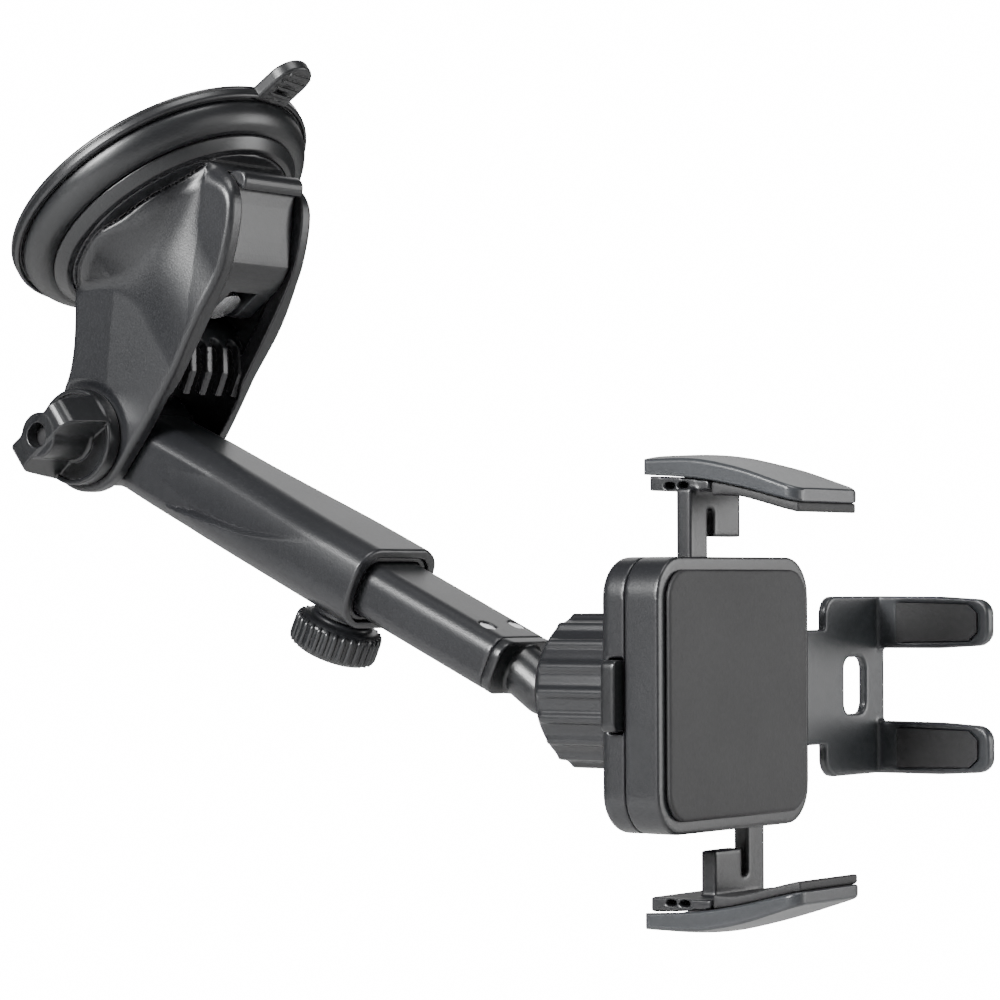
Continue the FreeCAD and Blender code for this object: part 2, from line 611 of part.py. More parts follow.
def cradle_back():
    """Back shell with the threaded socket for the ball."""
    shell = plate(2 * CRADLE_X, 2 * CRADLE_HALF, CRADLE_R, 9.0, CRADLE_D)
    shell = soften(shell, 2.2, lambda e: abs(e.CenterOfMass.y - CRADLE_D) < 0.01)
    room = plate(2 * (CRADLE_X - WALL), 2 * (CRADLE_HALF - WALL), CRADLE_R - WALL, 8.0, CRADLE_D - 2.0)
    shell = shell.cut(room)
    shell = shell.fuse(rod(STUB_R, (0, CRADLE_D - 1.0, 0), (0, BALL_BACK - 0.1, 0)))
    shell = shell.cut(Part.makeSphere(LINER_R + SLIDE_GAP, V(0, BALL_BACK, 0)))
    shell = shell.cut(box((-CRADLE_X - 2, -CRADLE_X + 3), (9.1, 12.9), (-7.3, 7.3)))
    for x, z in cradle_screw_places():
        shell = shell.fuse(rod(2.4, (x, 9.1, z), (x, CRADLE_D - 1.5, z)))
        shell = shell.cut(rod(0.95, (x, 0, z), (x, 20, z))).cut(rod(1.9, (x, CRADLE_D - 1.8, z), (x, 20, z)))
    x, z = PAWL_PIN
    shell = shell.fuse(rod(1.5, (x, 9.1, z), (x, CRADLE_D - 1.5, z)))
    shell = shell.fuse(box((-13.8, -12.4), (9.1, 13.5), (-6.0, -2.0)))
    shell = shell.cut(rod(AXLE_R + FIT, (0, 0, 0), (0, CRADLE_D - 1.0, 0)))
    return on_cradle(shell.removeSplitter())


def cradle_screws():
    screws = []
    for x, z in cradle_screw_places():
        head = rod(1.8, (x, CRADLE_D - 1.7, z), (x, CRADLE_D - 0.6, z))
        screws.append(on_cradle(head.fuse(rod(0.85, (x, 4.2, z), (x, CRADLE_D - 1.7, z)))))
    return Part.makeCompound(screws)


def involute(base, radius):
    """Angle swept by the involute of a base circle at a radius."""
    t = math.sqrt(max(radius * radius / (base * base) - 1, 0))
    return t - math.atan(t)


def gear_points(y):
    """Outline of the pinion, a tooth at a time."""
    pitch = GEAR_M * GEAR_TEETH / 2
    base = pitch * math.cos(math.radians(PRESSURE))
    tip, root = pitch + 0.75 * GEAR_M, pitch - 0.95 * GEAR_M
    half = (math.pi * GEAR_M / 2 - BACKLASH) / 2 / pitch
    zero = involute(base, pitch)
    radii = [max(base, root) + (tip - max(base, root)) * i / 5 for i in range(6)]
    points = []
    for k in range(GEAR_TEETH):
        mid = 2 * math.pi * k / GEAR_TEETH
        flank = [(r, half + zero - involute(base, r)) for r in radii]
        left = [(root, -flank[0][1])] + [(r, -a) for r, a in flank]
        right = [(r, a) for r, a in reversed(flank)] + [(root, flank[0][1])]
        for r, a in left + right:
            points.append(V(r * math.cos(mid + a), y, r * math.sin(mid + a)))
    return points


def pinion():
    """Gear, ratchet wheel and barrel, turning on the cradle's axle."""
    gear = face_of(gear_points(RACK_Y[0])).extrude(V(0, RACK_Y[1] - RACK_Y[0], 0))
    barrel = rod(2.6, (0, RACK_Y[0], 0), (0, CRADLE_D - 2.2, 0))
    wheel = []
    teeth = 16
    for k in range(teeth):
        a, b = 2 * math.pi * k / teeth, 2 * math.pi * (k + 0.12) / teeth
        wheel.append(V(7.4 * math.cos(a), 9.3, 7.4 * math.sin(a)))
        wheel.append(V(6.5 * math.cos(b), 9.3, 6.5 * math.sin(b)))
    wheel = face_of(wheel).extrude(V(0, 1.5, 0))
    body = gear.fuse(barrel).fuse(wheel)
    return on_cradle(body.cut(rod(AXLE_R + FIT, (0, 0, 0), (0, 20, 0))).removeSplitter())


def pinion_axle():
    return on_cradle(rod(AXLE_R, (0, 2.0, 0), (0, CRADLE_D - 1.0, 0)))


def return_spring():
    """Spiral spring that opens the arms, wound round the pinion's barrel."""
    return on_cradle(turned([(2.9, 11.1), (7.6, 11.1), (7.6, 12.7), (2.9, 12.7)], Y_AXIS))


def jaw_line(upper):
    """Side profile of a clamp arm's cover, back to front: the top line or the under line."""
    if upper:
        return [(CRADLE_D, JAW + 7.6), (6.0, JAW + 7.6), (0.0, JAW + 7.0), (-7.5, JAW + 5.4), (-14.0, JAW + 3.4),
                (-ARM_REACH, JAW + 1.2)]
    return [(-ARM_REACH, JAW - 1.5), (-14.0, JAW + 0.1), (-7.5, JAW + 1.7), (0.0, JAW + 3.1), (6.0, JAW + 3.8),
            (CRADLE_D, JAW + 4.4)]


def jaw_wire(top, low, x=0.0):
    """Outline in a YZ plane between two smooth lines."""
    curves = []
    for line in (top, low):
        curve = Part.BSplineCurve()
        curve.interpolate([V(x, y, z) for y, z in line])
        curves.append(curve.toShape())
    front = Part.makeLine(V(x, *top[-1]), V(x, *low[0]))
    back = Part.makeLine(V(x, *low[-1]), V(x, *top[0]))
    return Part.Wire([curves[0], front, curves[1], back])


def jaw_face(top, low):
    return Part.Face(jaw_wire(top, low))


def mirrored(shape, upper):
    """A clamp arm's piece for the lower arm: the upper one turned half a turn about the pinion."""
    shape = shape.copy()
    if not upper:
        shape.rotate(V(0, 0, 0), Y_AXIS, 180)
    return on_cradle(shape)


def arm_cap(upper):
    wires = []
    for share in (-1, -0.5, 0, 0.5, 1):
        rise = CROWN * (1 - share * share)
        top = [(y, z + rise * min(1, max(0.2, (y + ARM_REACH) / ARM_REACH))) for y, z in jaw_line(True)]
        wires.append(jaw_wire(top, jaw_line(False), share * ARM_HALF))
    cap = Part.makeLoft(wires, True, False)
    cap = soften(cap, 3.0, lambda e: e.BoundBox.YLength < 0.1 and e.BoundBox.XLength < 0.1
                 and e.CenterOfMass.y < -10)
    return mirrored(cap, upper)


def rack_teeth(x_root, z0, z1):
    """Rack teeth facing +X, from the root line x_root."""
    pitch = math.pi * GEAR_M
    slope = math.tan(math.radians(PRESSURE))
    thick = pitch / 2 - BACKLASH
    high = 0.7 * GEAR_M
    deep = 1.1 * GEAR_M
    teeth = None
    count = int((z1 - z0) / pitch) + 2
    first = math.ceil(z0 / pitch)
    for k in range(first, first + count):
        mid = (k + 0.5) * pitch
        if mid + pitch / 2 > z1 + 0.6:
            break
        low, top = thick / 2 + deep * slope, thick / 2 - high * slope
        outline = [(x_root - 0.3, mid - low), (x_root, mid - low), (x_root + deep + high, mid - top),
                   (x_root + deep + high, mid + top), (x_root, mid + low), (x_root - 0.3, mid + low)]
        tooth = face_of([V(x, RACK_Y[0], z) for x, z in outline]).extrude(V(0, RACK_Y[1] - RACK_Y[0], 0))
        teeth = tooth if teeth is None else teeth.fuse(tooth)
    return teeth


def arm_rack(upper):
    """Plate under the cover, with side slots, and the stem and rack that run in the cradle."""
    low = [(0.0, JAW + 1.3), (7.0, JAW + 1.3), (CRADLE_D - 0.8, JAW + 1.3)]
    top = [(CRADLE_D - 0.8, JAW + 4.3), (6.0, JAW + 3.78), (0.0, JAW + 3.08)]
    half = ARM_HALF - 1.1
    face = jaw_face(top, low)
    face.translate(V(-half, 0, 0))
    body = face.extrude(V(2 * half, 0, 0))
    for side in (-1, 1):
        for y in (9.4, 6.2):
            x = sorted((side * (half - 3.0), side * (half + 1)))
            body = body.cut(box(x, (y - 1.2, y + 1.2), (JAW + 1.7, JAW + 2.9)))
    pitch = GEAR_M * GEAR_TEETH / 2
    root = -pitch - 1.1 * GEAR_M
    body = body.fuse(box((-4.9, 4.9), RACK_Y, (JAW - 7.8, JAW + 1.6)))
    body = body.fuse(box((-8.0, 4.9), RACK_Y, (JAW - 2.3, JAW + 1.6)))
    body = body.fuse(box((-13.5, root), RACK_Y, (-12.5, JAW + 1.6)))
    body = body.fuse(rack_teeth(root, -12.5, 15.0))
    return mirrored(body.removeSplitter(), upper)


def arm_pad(upper):
    """Rubber lip that bears on the phone's edge and hooks over its front."""
    under = [(y, z - 0.02) for y, z in jaw_line(False) if y < 1]
    top = [(y, z) for y, z in reversed(under)]
    top[-1] = (-ARM_REACH + 0.6, JAW - 1.4)
    low = [(-ARM_REACH + 0.6, JAW - 3.4), (-15.0, JAW - 2.2), (-9.0, JAW - 0.6), (-6.0, JAW + 0.05),
           (0.0, JAW + 0.1)]
    top[0] = (-0.1, JAW + 3.05)
    low[-1] = (-0.1, JAW + 0.1)
    half = ARM_HALF - 1.3
    face = jaw_face(top, low)
    face.translate(V(-half, 0, 0))
    return mirrored(face.extrude(V(2 * half, 0, 0)), upper)


# ---------------------------------------------------------------- release button and pawl
def ratchet_pawl():
    x, z = PAWL_PIN
    y0, y1 = 9.5, 10.7
    hub = rod(2.6, (x, y0, z), (x, y1, z))
    beak = face_of([V(x + 0.5, y0, z - 2.6), V(x + 2.6, y0, z), V(-6.5, y0, 4.5), V(-7.5, y0, 3.1)])
    tail = face_of([V(x - 2.4, y0, z + 0.6), V(x - 4.3, y0, z + 5.0), V(x - 2.7, y0, z + 5.4), V(x + 1.4, y0, z + 2.0)])
    up = V(0, y1 - y0, 0)
    pawl = hub.fuse(beak.extrude(up)).fuse(tail.extrude(up))
    return on_cradle(pawl.cut(rod(1.5 + FIT, (x, 0, z), (x, 20, z))).removeSplitter())


def release_button():
    head = plate(4.6, 14.0, 1.4, 9.4, 12.6, -CRADLE_X - 0.7, 0)
    foot = box((-CRADLE_X + 1.4, -22.0), (9.4, 12.6), (-6.8, 6.8))
    finger = box((-24.5, -22.0), (9.5, 10.7), (6.0, 15.0))
    nose = box((-22.5, -17.2), (9.5, 10.7), (12.4, 15.0))
    return on_cradle(head.fuse([foot, finger, nose]).removeSplitter())


def button_spring():
    return on_cradle(rod(1.6, (-21.9, 11.2, -4), (-13.9, 11.2, -4)).cut(rod(1.1, (-30, 11.2, -4), (0, 11.2, -4))))


# ---------------------------------------------------------------- feet
def foot_bracket():
    """Forked plate that slides in the cradle and carries two feet at its end."""
    y0, y1 = 6.8, 8.8
    fork = box((-4, FOOT_X - 19.5), (y0, y1), (-12, 12)).cut(box((-5, 22), (0, 20), (-3.4, 3.4)))
    x0 = FOOT_X + PAD_PROUD
    head = plate(24.6, 2 * (FOOT_Z + 5.6), 4.0, y0, y1, x0 + FOOT_T - 12.3, 0)
    window = plate(9.0, 12.0, 2.5, y0 - 1, y1 + 1, FOOT_X - 9.0, 0)
    body = fork.fuse(head).cut(window)
    for side in (-1, 1):
        z = side * FOOT_Z
        foot = face_of([V(x0, y1, z - 5.6), V(x0, -8, z - 5.5), V(x0, -FOOT_REACH, z - 4.8),
                        V(x0, -FOOT_REACH, z + 4.8), V(x0, -8, z + 5.5), V(x0, y1, z + 5.6)]).extrude(V(FOOT_T, 0, 0))
        foot = soften(foot, 3.4, lambda e: e.BoundBox.YLength < 0.1 and e.BoundBox.ZLength < 0.1
                      and e.CenterOfMass.y < -15)
        foot = foot.cut(foot_pad_shape(side, 0.9))
        body = body.fuse(foot)
    return on_cradle(body.removeSplitter())


def foot_pad_shape(side, depth):
    """Inlaid pad on a foot's inner face."""
    z = side * FOOT_Z
    x0 = FOOT_X + PAD_PROUD
    outline = [V(x0, 2.0, z - 4.2), V(x0, -15.2, z - 3.8), V(x0, -17.2, z - 2.0), V(x0, -17.2, z + 2.0),
               V(x0, -15.2, z + 3.8), V(x0, 2.0, z + 4.2)]
    return face_of(outline).extrude(V(depth, 0, 0))


def foot_pads():
    pads = []
    for side in (-1, 1):
        pad = foot_pad_shape(side, 0.9)
        proud = foot_pad_shape(side, PAD_PROUD)
        proud.translate(V(-PAD_PROUD, 0, 0))
        pads.append(on_cradle(pad.fuse(proud).removeSplitter()))
    return Part.makeCompound(pads)


# ---------------------------------------------------------------- export
def nodes():
    return {
        "suction_cup": suction_cup(), "gel_pad": gel_pad(), "cup_ring": cup_ring(), "ring_screws": ring_screws(),
        "plunger": plunger(), "plunger_pin": plunger_pin(), "plunger_spring": plunger_spring(),
        "cam_plate": cam_plate(), "base_housing": base_housing(), "lock_lever": lock_lever(),
        "pivot_bolt": pivot_bolt(), "bolt_cover": bolt_cover(), "friction_washers": friction_washers(),
        "pivot_knob": pivot_knob(), "knob_insert": knob_insert(),
        "outer_tube": outer_tube(), "tube_collar": tube_collar(), "hub_bushes": hub_bushes(),
        "stud_insert": stud_insert(), "pressure_shoe": pressure_shoe(), "thumb_screw": thumb_screw(),
        "screw_stud": screw_stud(), "inner_tube": inner_tube(), "ball_stud": ball_stud(),
        "stud_screws": stud_screws(),
        "liner_cup": liner_cup(), "split_collar": split_collar(), "ring_nut": ring_nut(),
        "face_pad": face_pad(), "cradle_front": cradle_front(), "cradle_back": cradle_back(),
        "cradle_screws": cradle_screws(), "pinion": pinion(), "pinion_axle": pinion_axle(),
        "return_spring": return_spring(),
        "upper_arm_cap": arm_cap(True), "upper_arm_rack": arm_rack(True), "upper_arm_pad": arm_pad(True),
        "lower_arm_cap": arm_cap(False), "lower_arm_rack": arm_rack(False), "lower_arm_pad": arm_pad(False),
        "ratchet_pawl": ratchet_pawl(), "release_button": release_button(), "button_spring": button_spring(),
        "foot_bracket": foot_bracket(), "foot_pads": foot_pads(),
    }


os.makedirs("parts", exist_ok=True)
for name, shape in nodes().items():
    solids = shape.Solids
    print(f"{name:18s} solids {len(solids)} valid {shape.isValid()} volume {shape.Volume:9.1f}")
    shape.exportStep(f"parts/{name}.step")
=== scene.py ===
# %% [markdown]
# # A suction car phone mount, dressed around its CAD frame
# The frame holds every size and every joint. This lesson adds what the frame leaves plain: the soft flow of
# the mouldings, their ribs and grips, the springs, and the finish of each material. The joints' places are
# read from the frame.

# %% Load the frame
import bpy
import bmesh
import json
import math
from itertools import product
import numpy as np
from mathutils import Matrix, Vector


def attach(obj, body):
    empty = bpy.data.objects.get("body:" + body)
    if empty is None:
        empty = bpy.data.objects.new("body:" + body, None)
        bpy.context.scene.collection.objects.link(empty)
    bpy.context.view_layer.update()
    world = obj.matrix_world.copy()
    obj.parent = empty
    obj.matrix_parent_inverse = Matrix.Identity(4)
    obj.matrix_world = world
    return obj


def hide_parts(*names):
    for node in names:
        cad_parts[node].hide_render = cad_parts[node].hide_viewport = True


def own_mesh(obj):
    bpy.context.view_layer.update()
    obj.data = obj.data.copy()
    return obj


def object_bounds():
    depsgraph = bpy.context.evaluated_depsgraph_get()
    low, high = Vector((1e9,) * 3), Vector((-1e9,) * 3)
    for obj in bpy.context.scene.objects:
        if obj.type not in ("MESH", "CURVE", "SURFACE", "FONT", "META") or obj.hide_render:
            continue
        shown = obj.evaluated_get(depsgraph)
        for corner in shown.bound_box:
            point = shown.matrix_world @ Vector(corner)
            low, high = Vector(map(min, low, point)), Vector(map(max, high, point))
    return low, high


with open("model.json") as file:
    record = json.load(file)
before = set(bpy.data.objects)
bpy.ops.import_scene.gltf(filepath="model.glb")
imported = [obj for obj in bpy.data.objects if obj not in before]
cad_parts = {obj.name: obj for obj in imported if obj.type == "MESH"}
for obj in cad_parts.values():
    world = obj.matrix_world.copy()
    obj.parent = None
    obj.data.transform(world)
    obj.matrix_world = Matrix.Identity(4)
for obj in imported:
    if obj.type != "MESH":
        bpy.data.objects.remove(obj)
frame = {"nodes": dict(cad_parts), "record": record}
CAD_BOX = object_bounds()
MM = 0.001
NODES = frame["nodes"]
RECORD = frame["record"]
BODY_OF = {node: body for body, nodes in RECORD["behaviour"]["bodies"].items() for node in nodes}
SLOT_OF = {part["node"]: part["material_slot"] for part in RECORD["subparts"]}
JOINTS = {joint["name"]: joint for joint in RECORD["behaviour"]["joints"]}
print("nodes", len(NODES), "box", [[round(c, 4) for c in corner] for corner in CAD_BOX])

# %% [markdown]
# ## Camera and studio
# The mount hangs from a windshield, so it is seen from the driver's side, level with the cradle, through a
# long lens. A long lens keeps the cup and the phone clamp at nearly the same scale. Around it stands a plain
# white studio: a pale floor, a pale world, and a few soft boxes whose reflections draw the edges.

# %% Camera
LENS_MM = 127.0
SENSOR_MM = 36.0
CAMERA_AT = Vector((-0.5939, -0.5265, -0.0884))
YAW, PITCH, ROLL = (math.radians(a) for a in (53.985, -1.362, -0.169))


def add_camera():
    ahead = Vector((math.sin(YAW) * math.cos(PITCH), math.cos(YAW) * math.cos(PITCH), -math.sin(PITCH)))
    right = Vector((math.cos(YAW), -math.sin(YAW), 0))
    up = right.cross(ahead)
    level = Matrix((right, up, -ahead)).transposed()
    data = bpy.data.cameras.new("camera")
    data.lens, data.sensor_width = LENS_MM, SENSOR_MM
    data.clip_start, data.clip_end = 0.01, 100
    camera = bpy.data.objects.new("camera", data)
    camera.matrix_world = Matrix.Translation(CAMERA_AT) @ (level @ Matrix.Rotation(ROLL, 3, "Z")).to_4x4()
    bpy.context.collection.objects.link(camera)
    bpy.context.scene.camera = camera


add_camera()

# %% World
BACKDROP = 16.0
AMBIENT = 0.07


def white_world():
    """Bright where it is looked at, and dim as a light, so that dark plastic keeps its depth."""
    world = bpy.context.scene.world or bpy.data.worlds.new("world")
    bpy.context.scene.world = world
    world.use_nodes = True
    tree = world.node_tree
    seen = tree.nodes.new("ShaderNodeLightPath").outputs["Is Camera Ray"]
    level = tree.nodes.new("ShaderNodeMapRange")
    level.inputs["To Min"].default_value = AMBIENT
    level.inputs["To Max"].default_value = BACKDROP
    tree.links.new(seen, level.inputs["Value"])
    tree.nodes["Background"].inputs["Color"].default_value = (1, 1, 1, 1)
    tree.links.new(level.outputs["Result"], tree.nodes["Background"].inputs["Strength"])


white_world()

# %% Floor
FLOOR_DROP = 0.14
FLOOR_R = 40.0


def add_floor():
    mesh = bpy.data.meshes.new("floor")
    shape = bmesh.new()
    bmesh.ops.create_circle(shape, cap_ends=True, segments=96, radius=FLOOR_R,
                            matrix=Matrix.Translation((0, 0, CAD_BOX[0][2] - FLOOR_DROP)))
    shape.to_mesh(mesh)
    shape.free()
    floor = bpy.data.objects.new("floor", mesh)
    bpy.context.collection.objects.link(floor)
    paint = bpy.data.materials.new("floor_paint")
    paint.use_nodes = True
    tree = paint.node_tree
    skin = tree.nodes["Principled BSDF"]
    skin.inputs["Base Color"].default_value = (0.75, 0.75, 0.75, 1)
    skin.inputs["Roughness"].default_value = 0.9
    skin.inputs["Specular IOR Level"].default_value = 0.1
    glow = tree.nodes.new("ShaderNodeEmission")
    glow.inputs["Strength"].default_value = BACKDROP
    seen = tree.nodes.new("ShaderNodeLightPath").outputs["Is Camera Ray"]
    blend = tree.nodes.new("ShaderNodeMixShader")
    tree.links.new(seen, blend.inputs["Fac"])
    tree.links.new(skin.outputs["BSDF"], blend.inputs[1])
    tree.links.new(glow.outputs["Emission"], blend.inputs[2])
    tree.links.new(blend.outputs["Shader"], tree.nodes["Material Output"].inputs["Surface"])
    mesh.materials.append(paint)


add_floor()

# %% Soft boxes
MIDDLE = (Vector(CAD_BOX[0]) + Vector(CAD_BOX[1])) / 2


def add_light(name, place, size, power):
    """A soft square panel that faces the middle of the object."""
    data = bpy.data.lights.new(name, "AREA")
    data.shape, data.size, data.energy = "SQUARE", size, power
    light = bpy.data.objects.new(name, data)
    light.location = MIDDLE + Vector(place)
    light.rotation_euler = (-Vector(place)).to_track_quat("-Z", "Y").to_euler()
    bpy.context.collection.objects.link(light)


add_light("left_box", (-1.0, 0.12, 0.44), 0.40, 34.0)
add_light("back_box", (0.9, 0.5, 0.60), 0.60, 1.7)
add_light("top_box", (-0.1, -0.35, 1.1), 0.50, 8.0)
add_light("front_box", (0.15, -1.1, 0.20), 0.50, 2.2)
add_light("low_box", (-0.75, -0.1, -0.65), 0.30, 2.5)
add_light("right_box", (0.75, -0.85, 0.10), 0.50, 7.0)

# %% [markdown]
# ## Finishes
# Every moulded part carries the same two effects at its own strength: a fine spark-eroded grain, and a faint
# mottle where the plastic flowed. Both live in one node group, placed in each material with its own values.
# Sharp edges are painted a little paler, a painted highlight along them, and made a little glossier, so the
# group finds the edges too.

# %% The shared grain group
def make_group(name, inputs, outputs):
    group = bpy.data.node_groups.new(name, "ShaderNodeTree")
    for label, kind, value in inputs:
        socket = group.interface.new_socket(label, in_out="INPUT", socket_type=kind)
        socket.default_value = value
    for label, kind in outputs:
        group.interface.new_socket(label, in_out="OUTPUT", socket_type=kind)
    return group, group.nodes.new("NodeGroupInput"), group.nodes.new("NodeGroupOutput")


def math_node(tree, operation, a, b=0.0, clamp=False):
    node = tree.nodes.new("ShaderNodeMath")
    node.operation, node.use_clamp = operation, clamp
    for socket, value in zip(node.inputs, (a, b)):
        if hasattr(value, "is_output"):
            tree.links.new(value, socket)
        else:
            socket.default_value = value
    return node.outputs[0]


def noise(tree, place, scale, detail=2.0):
    node = tree.nodes.new("ShaderNodeTexNoise")
    node.inputs["Detail"].default_value = detail
    tree.links.new(place, node.inputs["Vector"])
    if hasattr(scale, "is_output"):
        tree.links.new(scale, node.inputs["Scale"])
    else:
        node.inputs["Scale"].default_value = scale
    return node.outputs["Fac"]


EDGE_START, EDGE_GAIN = 0.515, 14.0
# How much paler the sharp edges are painted, as a painted highlight, and how much glossier they are made.
PAINTED_EDGE_HIGHLIGHT, EDGE_GLOSS = 1.4, 0.25


def grain_group():
    group, feed, out = make_group(
        "moulded_grain",
        [("Place", "NodeSocketVector", (0, 0, 0)), ("Colour", "NodeSocketColor", (0.05, 0.05, 0.05, 1)),
         ("Mottle", "NodeSocketFloat", 0.12), ("Grain scale", "NodeSocketFloat", 2200.0),
         ("Gloss", "NodeSocketFloat", 0.4), ("Gloss spread", "NodeSocketFloat", 0.1),
         ("Edge highlight and gloss", "NodeSocketFloat", 0.25)],
        [("Colour", "NodeSocketColor"), ("Roughness", "NodeSocketFloat"), ("Height", "NodeSocketFloat")])
    links = group.links
    fine = noise(group, feed.outputs["Place"], feed.outputs["Grain scale"], 3.0)
    broad = noise(group, feed.outputs["Place"], 60.0, 4.0)
    point = group.nodes.new("ShaderNodeNewGeometry").outputs["Pointiness"]
    edge = math_node(group, "SUBTRACT", point, EDGE_START)
    edge = math_node(group, "MULTIPLY", edge, EDGE_GAIN, clamp=True)
    edge = math_node(group, "MULTIPLY", math_node(group, "MULTIPLY", edge, broad), feed.outputs["Edge highlight and gloss"])
    shade = math_node(group, "MULTIPLY", math_node(group, "SUBTRACT", broad, 0.5), feed.outputs["Mottle"])
    shade = math_node(group, "ADD", math_node(group, "MULTIPLY", shade, 2.0), 1.0)
    # Painted highlight: sharp edges, found by pointiness, are made paler.
    shade = math_node(group, "ADD", shade, math_node(group, "MULTIPLY", edge, PAINTED_EDGE_HIGHLIGHT))
    tint = group.nodes.new("ShaderNodeVectorMath")
    tint.operation = "SCALE"
    links.new(feed.outputs["Colour"], tint.inputs[0])
    links.new(shade, tint.inputs["Scale"])
    links.new(tint.outputs[0], out.inputs["Colour"])
    mixed = math_node(group, "MULTIPLY", math_node(group, "ADD", fine, broad), 0.5)
    centred = math_node(group, "SUBTRACT", mixed, 0.5)
    spread = math_node(group, "MULTIPLY", centred, feed.outputs["Gloss spread"])
    gloss = math_node(group, "ADD", spread, feed.outputs["Gloss"])
    edge_roughness = math_node(group, "SUBTRACT", gloss, math_node(group, "MULTIPLY", edge, EDGE_GLOSS))
    links.new(edge_roughness, out.inputs["Roughness"])
    links.new(fine, out.inputs["Height"])
    return group


GRAIN = grain_group()


# %% One material for each finish
def moulded(name, colour, gloss, spread=0.12, mottle=0.10, grain=2200.0, relief=0.02, edge_highlight_and_gloss=0.25, metal=0.0):
    material = bpy.data.materials.new(name)
    material.use_nodes = True
    tree = material.node_tree
    skin = tree.nodes["Principled BSDF"]
    skin.inputs["Metallic"].default_value = metal
    group = tree.nodes.new("ShaderNodeGroup")
    group.node_tree = GRAIN
    tree.links.new(tree.nodes.new("ShaderNodeTexCoord").outputs["Object"], group.inputs["Place"])
    group.inputs["Colour"].default_value = (*colour, 1)
    group.inputs["Mottle"].default_value = mottle
    group.inputs["Grain scale"].default_value = grain
    group.inputs["Gloss"].default_value = gloss
    group.inputs["Gloss spread"].default_value = spread
    # Strength of the painted highlight and of the gloss along sharp edges.
    group.inputs["Edge highlight and gloss"].default_value = edge_highlight_and_gloss
    bump = tree.nodes.new("ShaderNodeBump")
    bump.inputs["Strength"].default_value = relief
    bump.inputs["Distance"].default_value = 0.1 * MM
    tree.links.new(group.outputs["Height"], bump.inputs["Height"])
    tree.links.new(group.outputs["Colour"], skin.inputs["Base Color"])
    tree.links.new(group.outputs["Roughness"], skin.inputs["Roughness"])
    tree.links.new(bump.outputs["Normal"], skin.inputs["Normal"])
    return material


FINISH = {
    "shell": moulded("charcoal_shell", (0.0105, 0.0110, 0.0125), 0.35, relief=0.25),
    "knob_plastic": moulded("dark_knob", (0.0085, 0.0090, 0.0100), 0.33, relief=0.22),
    "clamp_plastic": moulded("grey_clamp", (0.026, 0.028, 0.031), 0.34, relief=0.22),
    "cup_rubber": moulded("cup_rubber", (0.0080, 0.0085, 0.0095), 0.36, mottle=0.06, relief=0.12, grain=900.0,
                          edge_highlight_and_gloss=0.1),
    "pad_rubber": moulded("pad_rubber", (0.009, 0.009, 0.010), 0.62, relief=0.5, grain=1500.0, edge_highlight_and_gloss=0.1),
    "gel": moulded("sticky_gel", (0.050, 0.052, 0.055), 0.18, mottle=0.05, relief=0.05, grain=300.0, edge_highlight_and_gloss=0.0),
    "nylon": moulded("natural_nylon", (0.55, 0.53, 0.47), 0.45, relief=0.2),
    "steel": moulded("zinc_steel", (0.62, 0.62, 0.63), 0.28, relief=0.1, metal=1.0),
    "spring_steel": moulded("spring_wire", (0.45, 0.45, 0.46), 0.32, relief=0.1, metal=1.0),
    "brass": moulded("turned_brass", (0.78, 0.60, 0.28), 0.26, relief=0.1, metal=1.0),
}
for name, node in NODES.items():
    for slot in node.material_slots:
        slot.material = FINISH[SLOT_OF[name]]
print("finishes", len(FINISH))

# %% [markdown]
# ## How a moulding is shaped
# A moulded part is a few simple solids that flow into each other, with every edge rounded by the tool maker.
# Modelling that by hand edge by edge is slow. A distance field describes it directly: a function that is
# negative inside the part and grows with the distance outside it. Two solids are joined with a minimum, cut
# with a maximum, and both can be rounded. The surface is then found on a fine grid: one corner goes in each
# grid cell that the surface crosses, and is pulled onto the surface along the field's slope.

# %% The frames that the parts are drawn in, in millimetres
def row_place(turn, origin):
    """A rotation about X by an angle in radians, and then a shift: from a part's own frame to the row's."""
    c, s = math.cos(turn), math.sin(turn)
    return np.array([[1, 0, 0], [0, c, -s], [0, s, c]]), np.array(origin) / MM


def moved(place, x, y, z):
    """The same frame with its origin moved along its own axes."""
    return place[0], place[1] + place[0] @ np.array((x, y, z))


GLASS = JOINTS["plunger_slide"]["axis"]
ALONG = JOINTS["tube_slide"]["axis"]
LEAN = math.atan2(GLASS[1], GLASS[2])
DIP = math.atan2(-ALONG[2], -ALONG[1])
PIVOT = np.array(JOINTS["arm_pivot"]["pos_m"])
BALL = np.array(JOINTS["ball_tilt"]["pos_m"])
BALL_BACK = 34.15
IN_CUP = row_place(-LEAN, (0, 0, 0))
ON_PIVOT = row_place(0, PIVOT)
ON_ARM = row_place(DIP, PIVOT)
IN_CRADLE = row_place(0, BALL - np.array((0, BALL_BACK * MM, 0)))
PIVOT_V = float((PIVOT / MM) @ IN_CUP[0][:, 1])
PIVOT_H = float((PIVOT / MM) @ IN_CUP[0][:, 2])
print("glass leans", round(math.degrees(LEAN), 2), "arm dips", round(math.degrees(DIP), 2))


# %% Joining and cutting fields
def length(a, b):
    return np.sqrt(a * a + b * b)


def joined(a, b, r=0.0):
    """Both solids, with a fillet of radius r where they meet."""
    if not np.any(r):
        return np.minimum(a, b)
    return np.maximum(r, np.minimum(a, b)) - length(np.maximum(r - a, 0), np.maximum(r - b, 0))


def common(a, b, r=0.0):
    """What both solids share, with its new edge rounded to radius r."""
    if not np.any(r):
        return np.maximum(a, b)
    return np.minimum(-r, np.maximum(a, b)) + length(np.maximum(a + r, 0), np.maximum(b + r, 0))


def cut(a, b, r=0.0):
    return common(a, -b, r)


def between(a, low, high):
    """Negative where a lies between low and high."""
    return np.maximum(low - a, a - high)


def ease(a, low, high):
    """0 at low, 1 at high, and smooth in between; low may be the larger."""
    t = np.clip((a - low) / (high - low), 0, 1)
    return t * t * (3 - 2 * t)


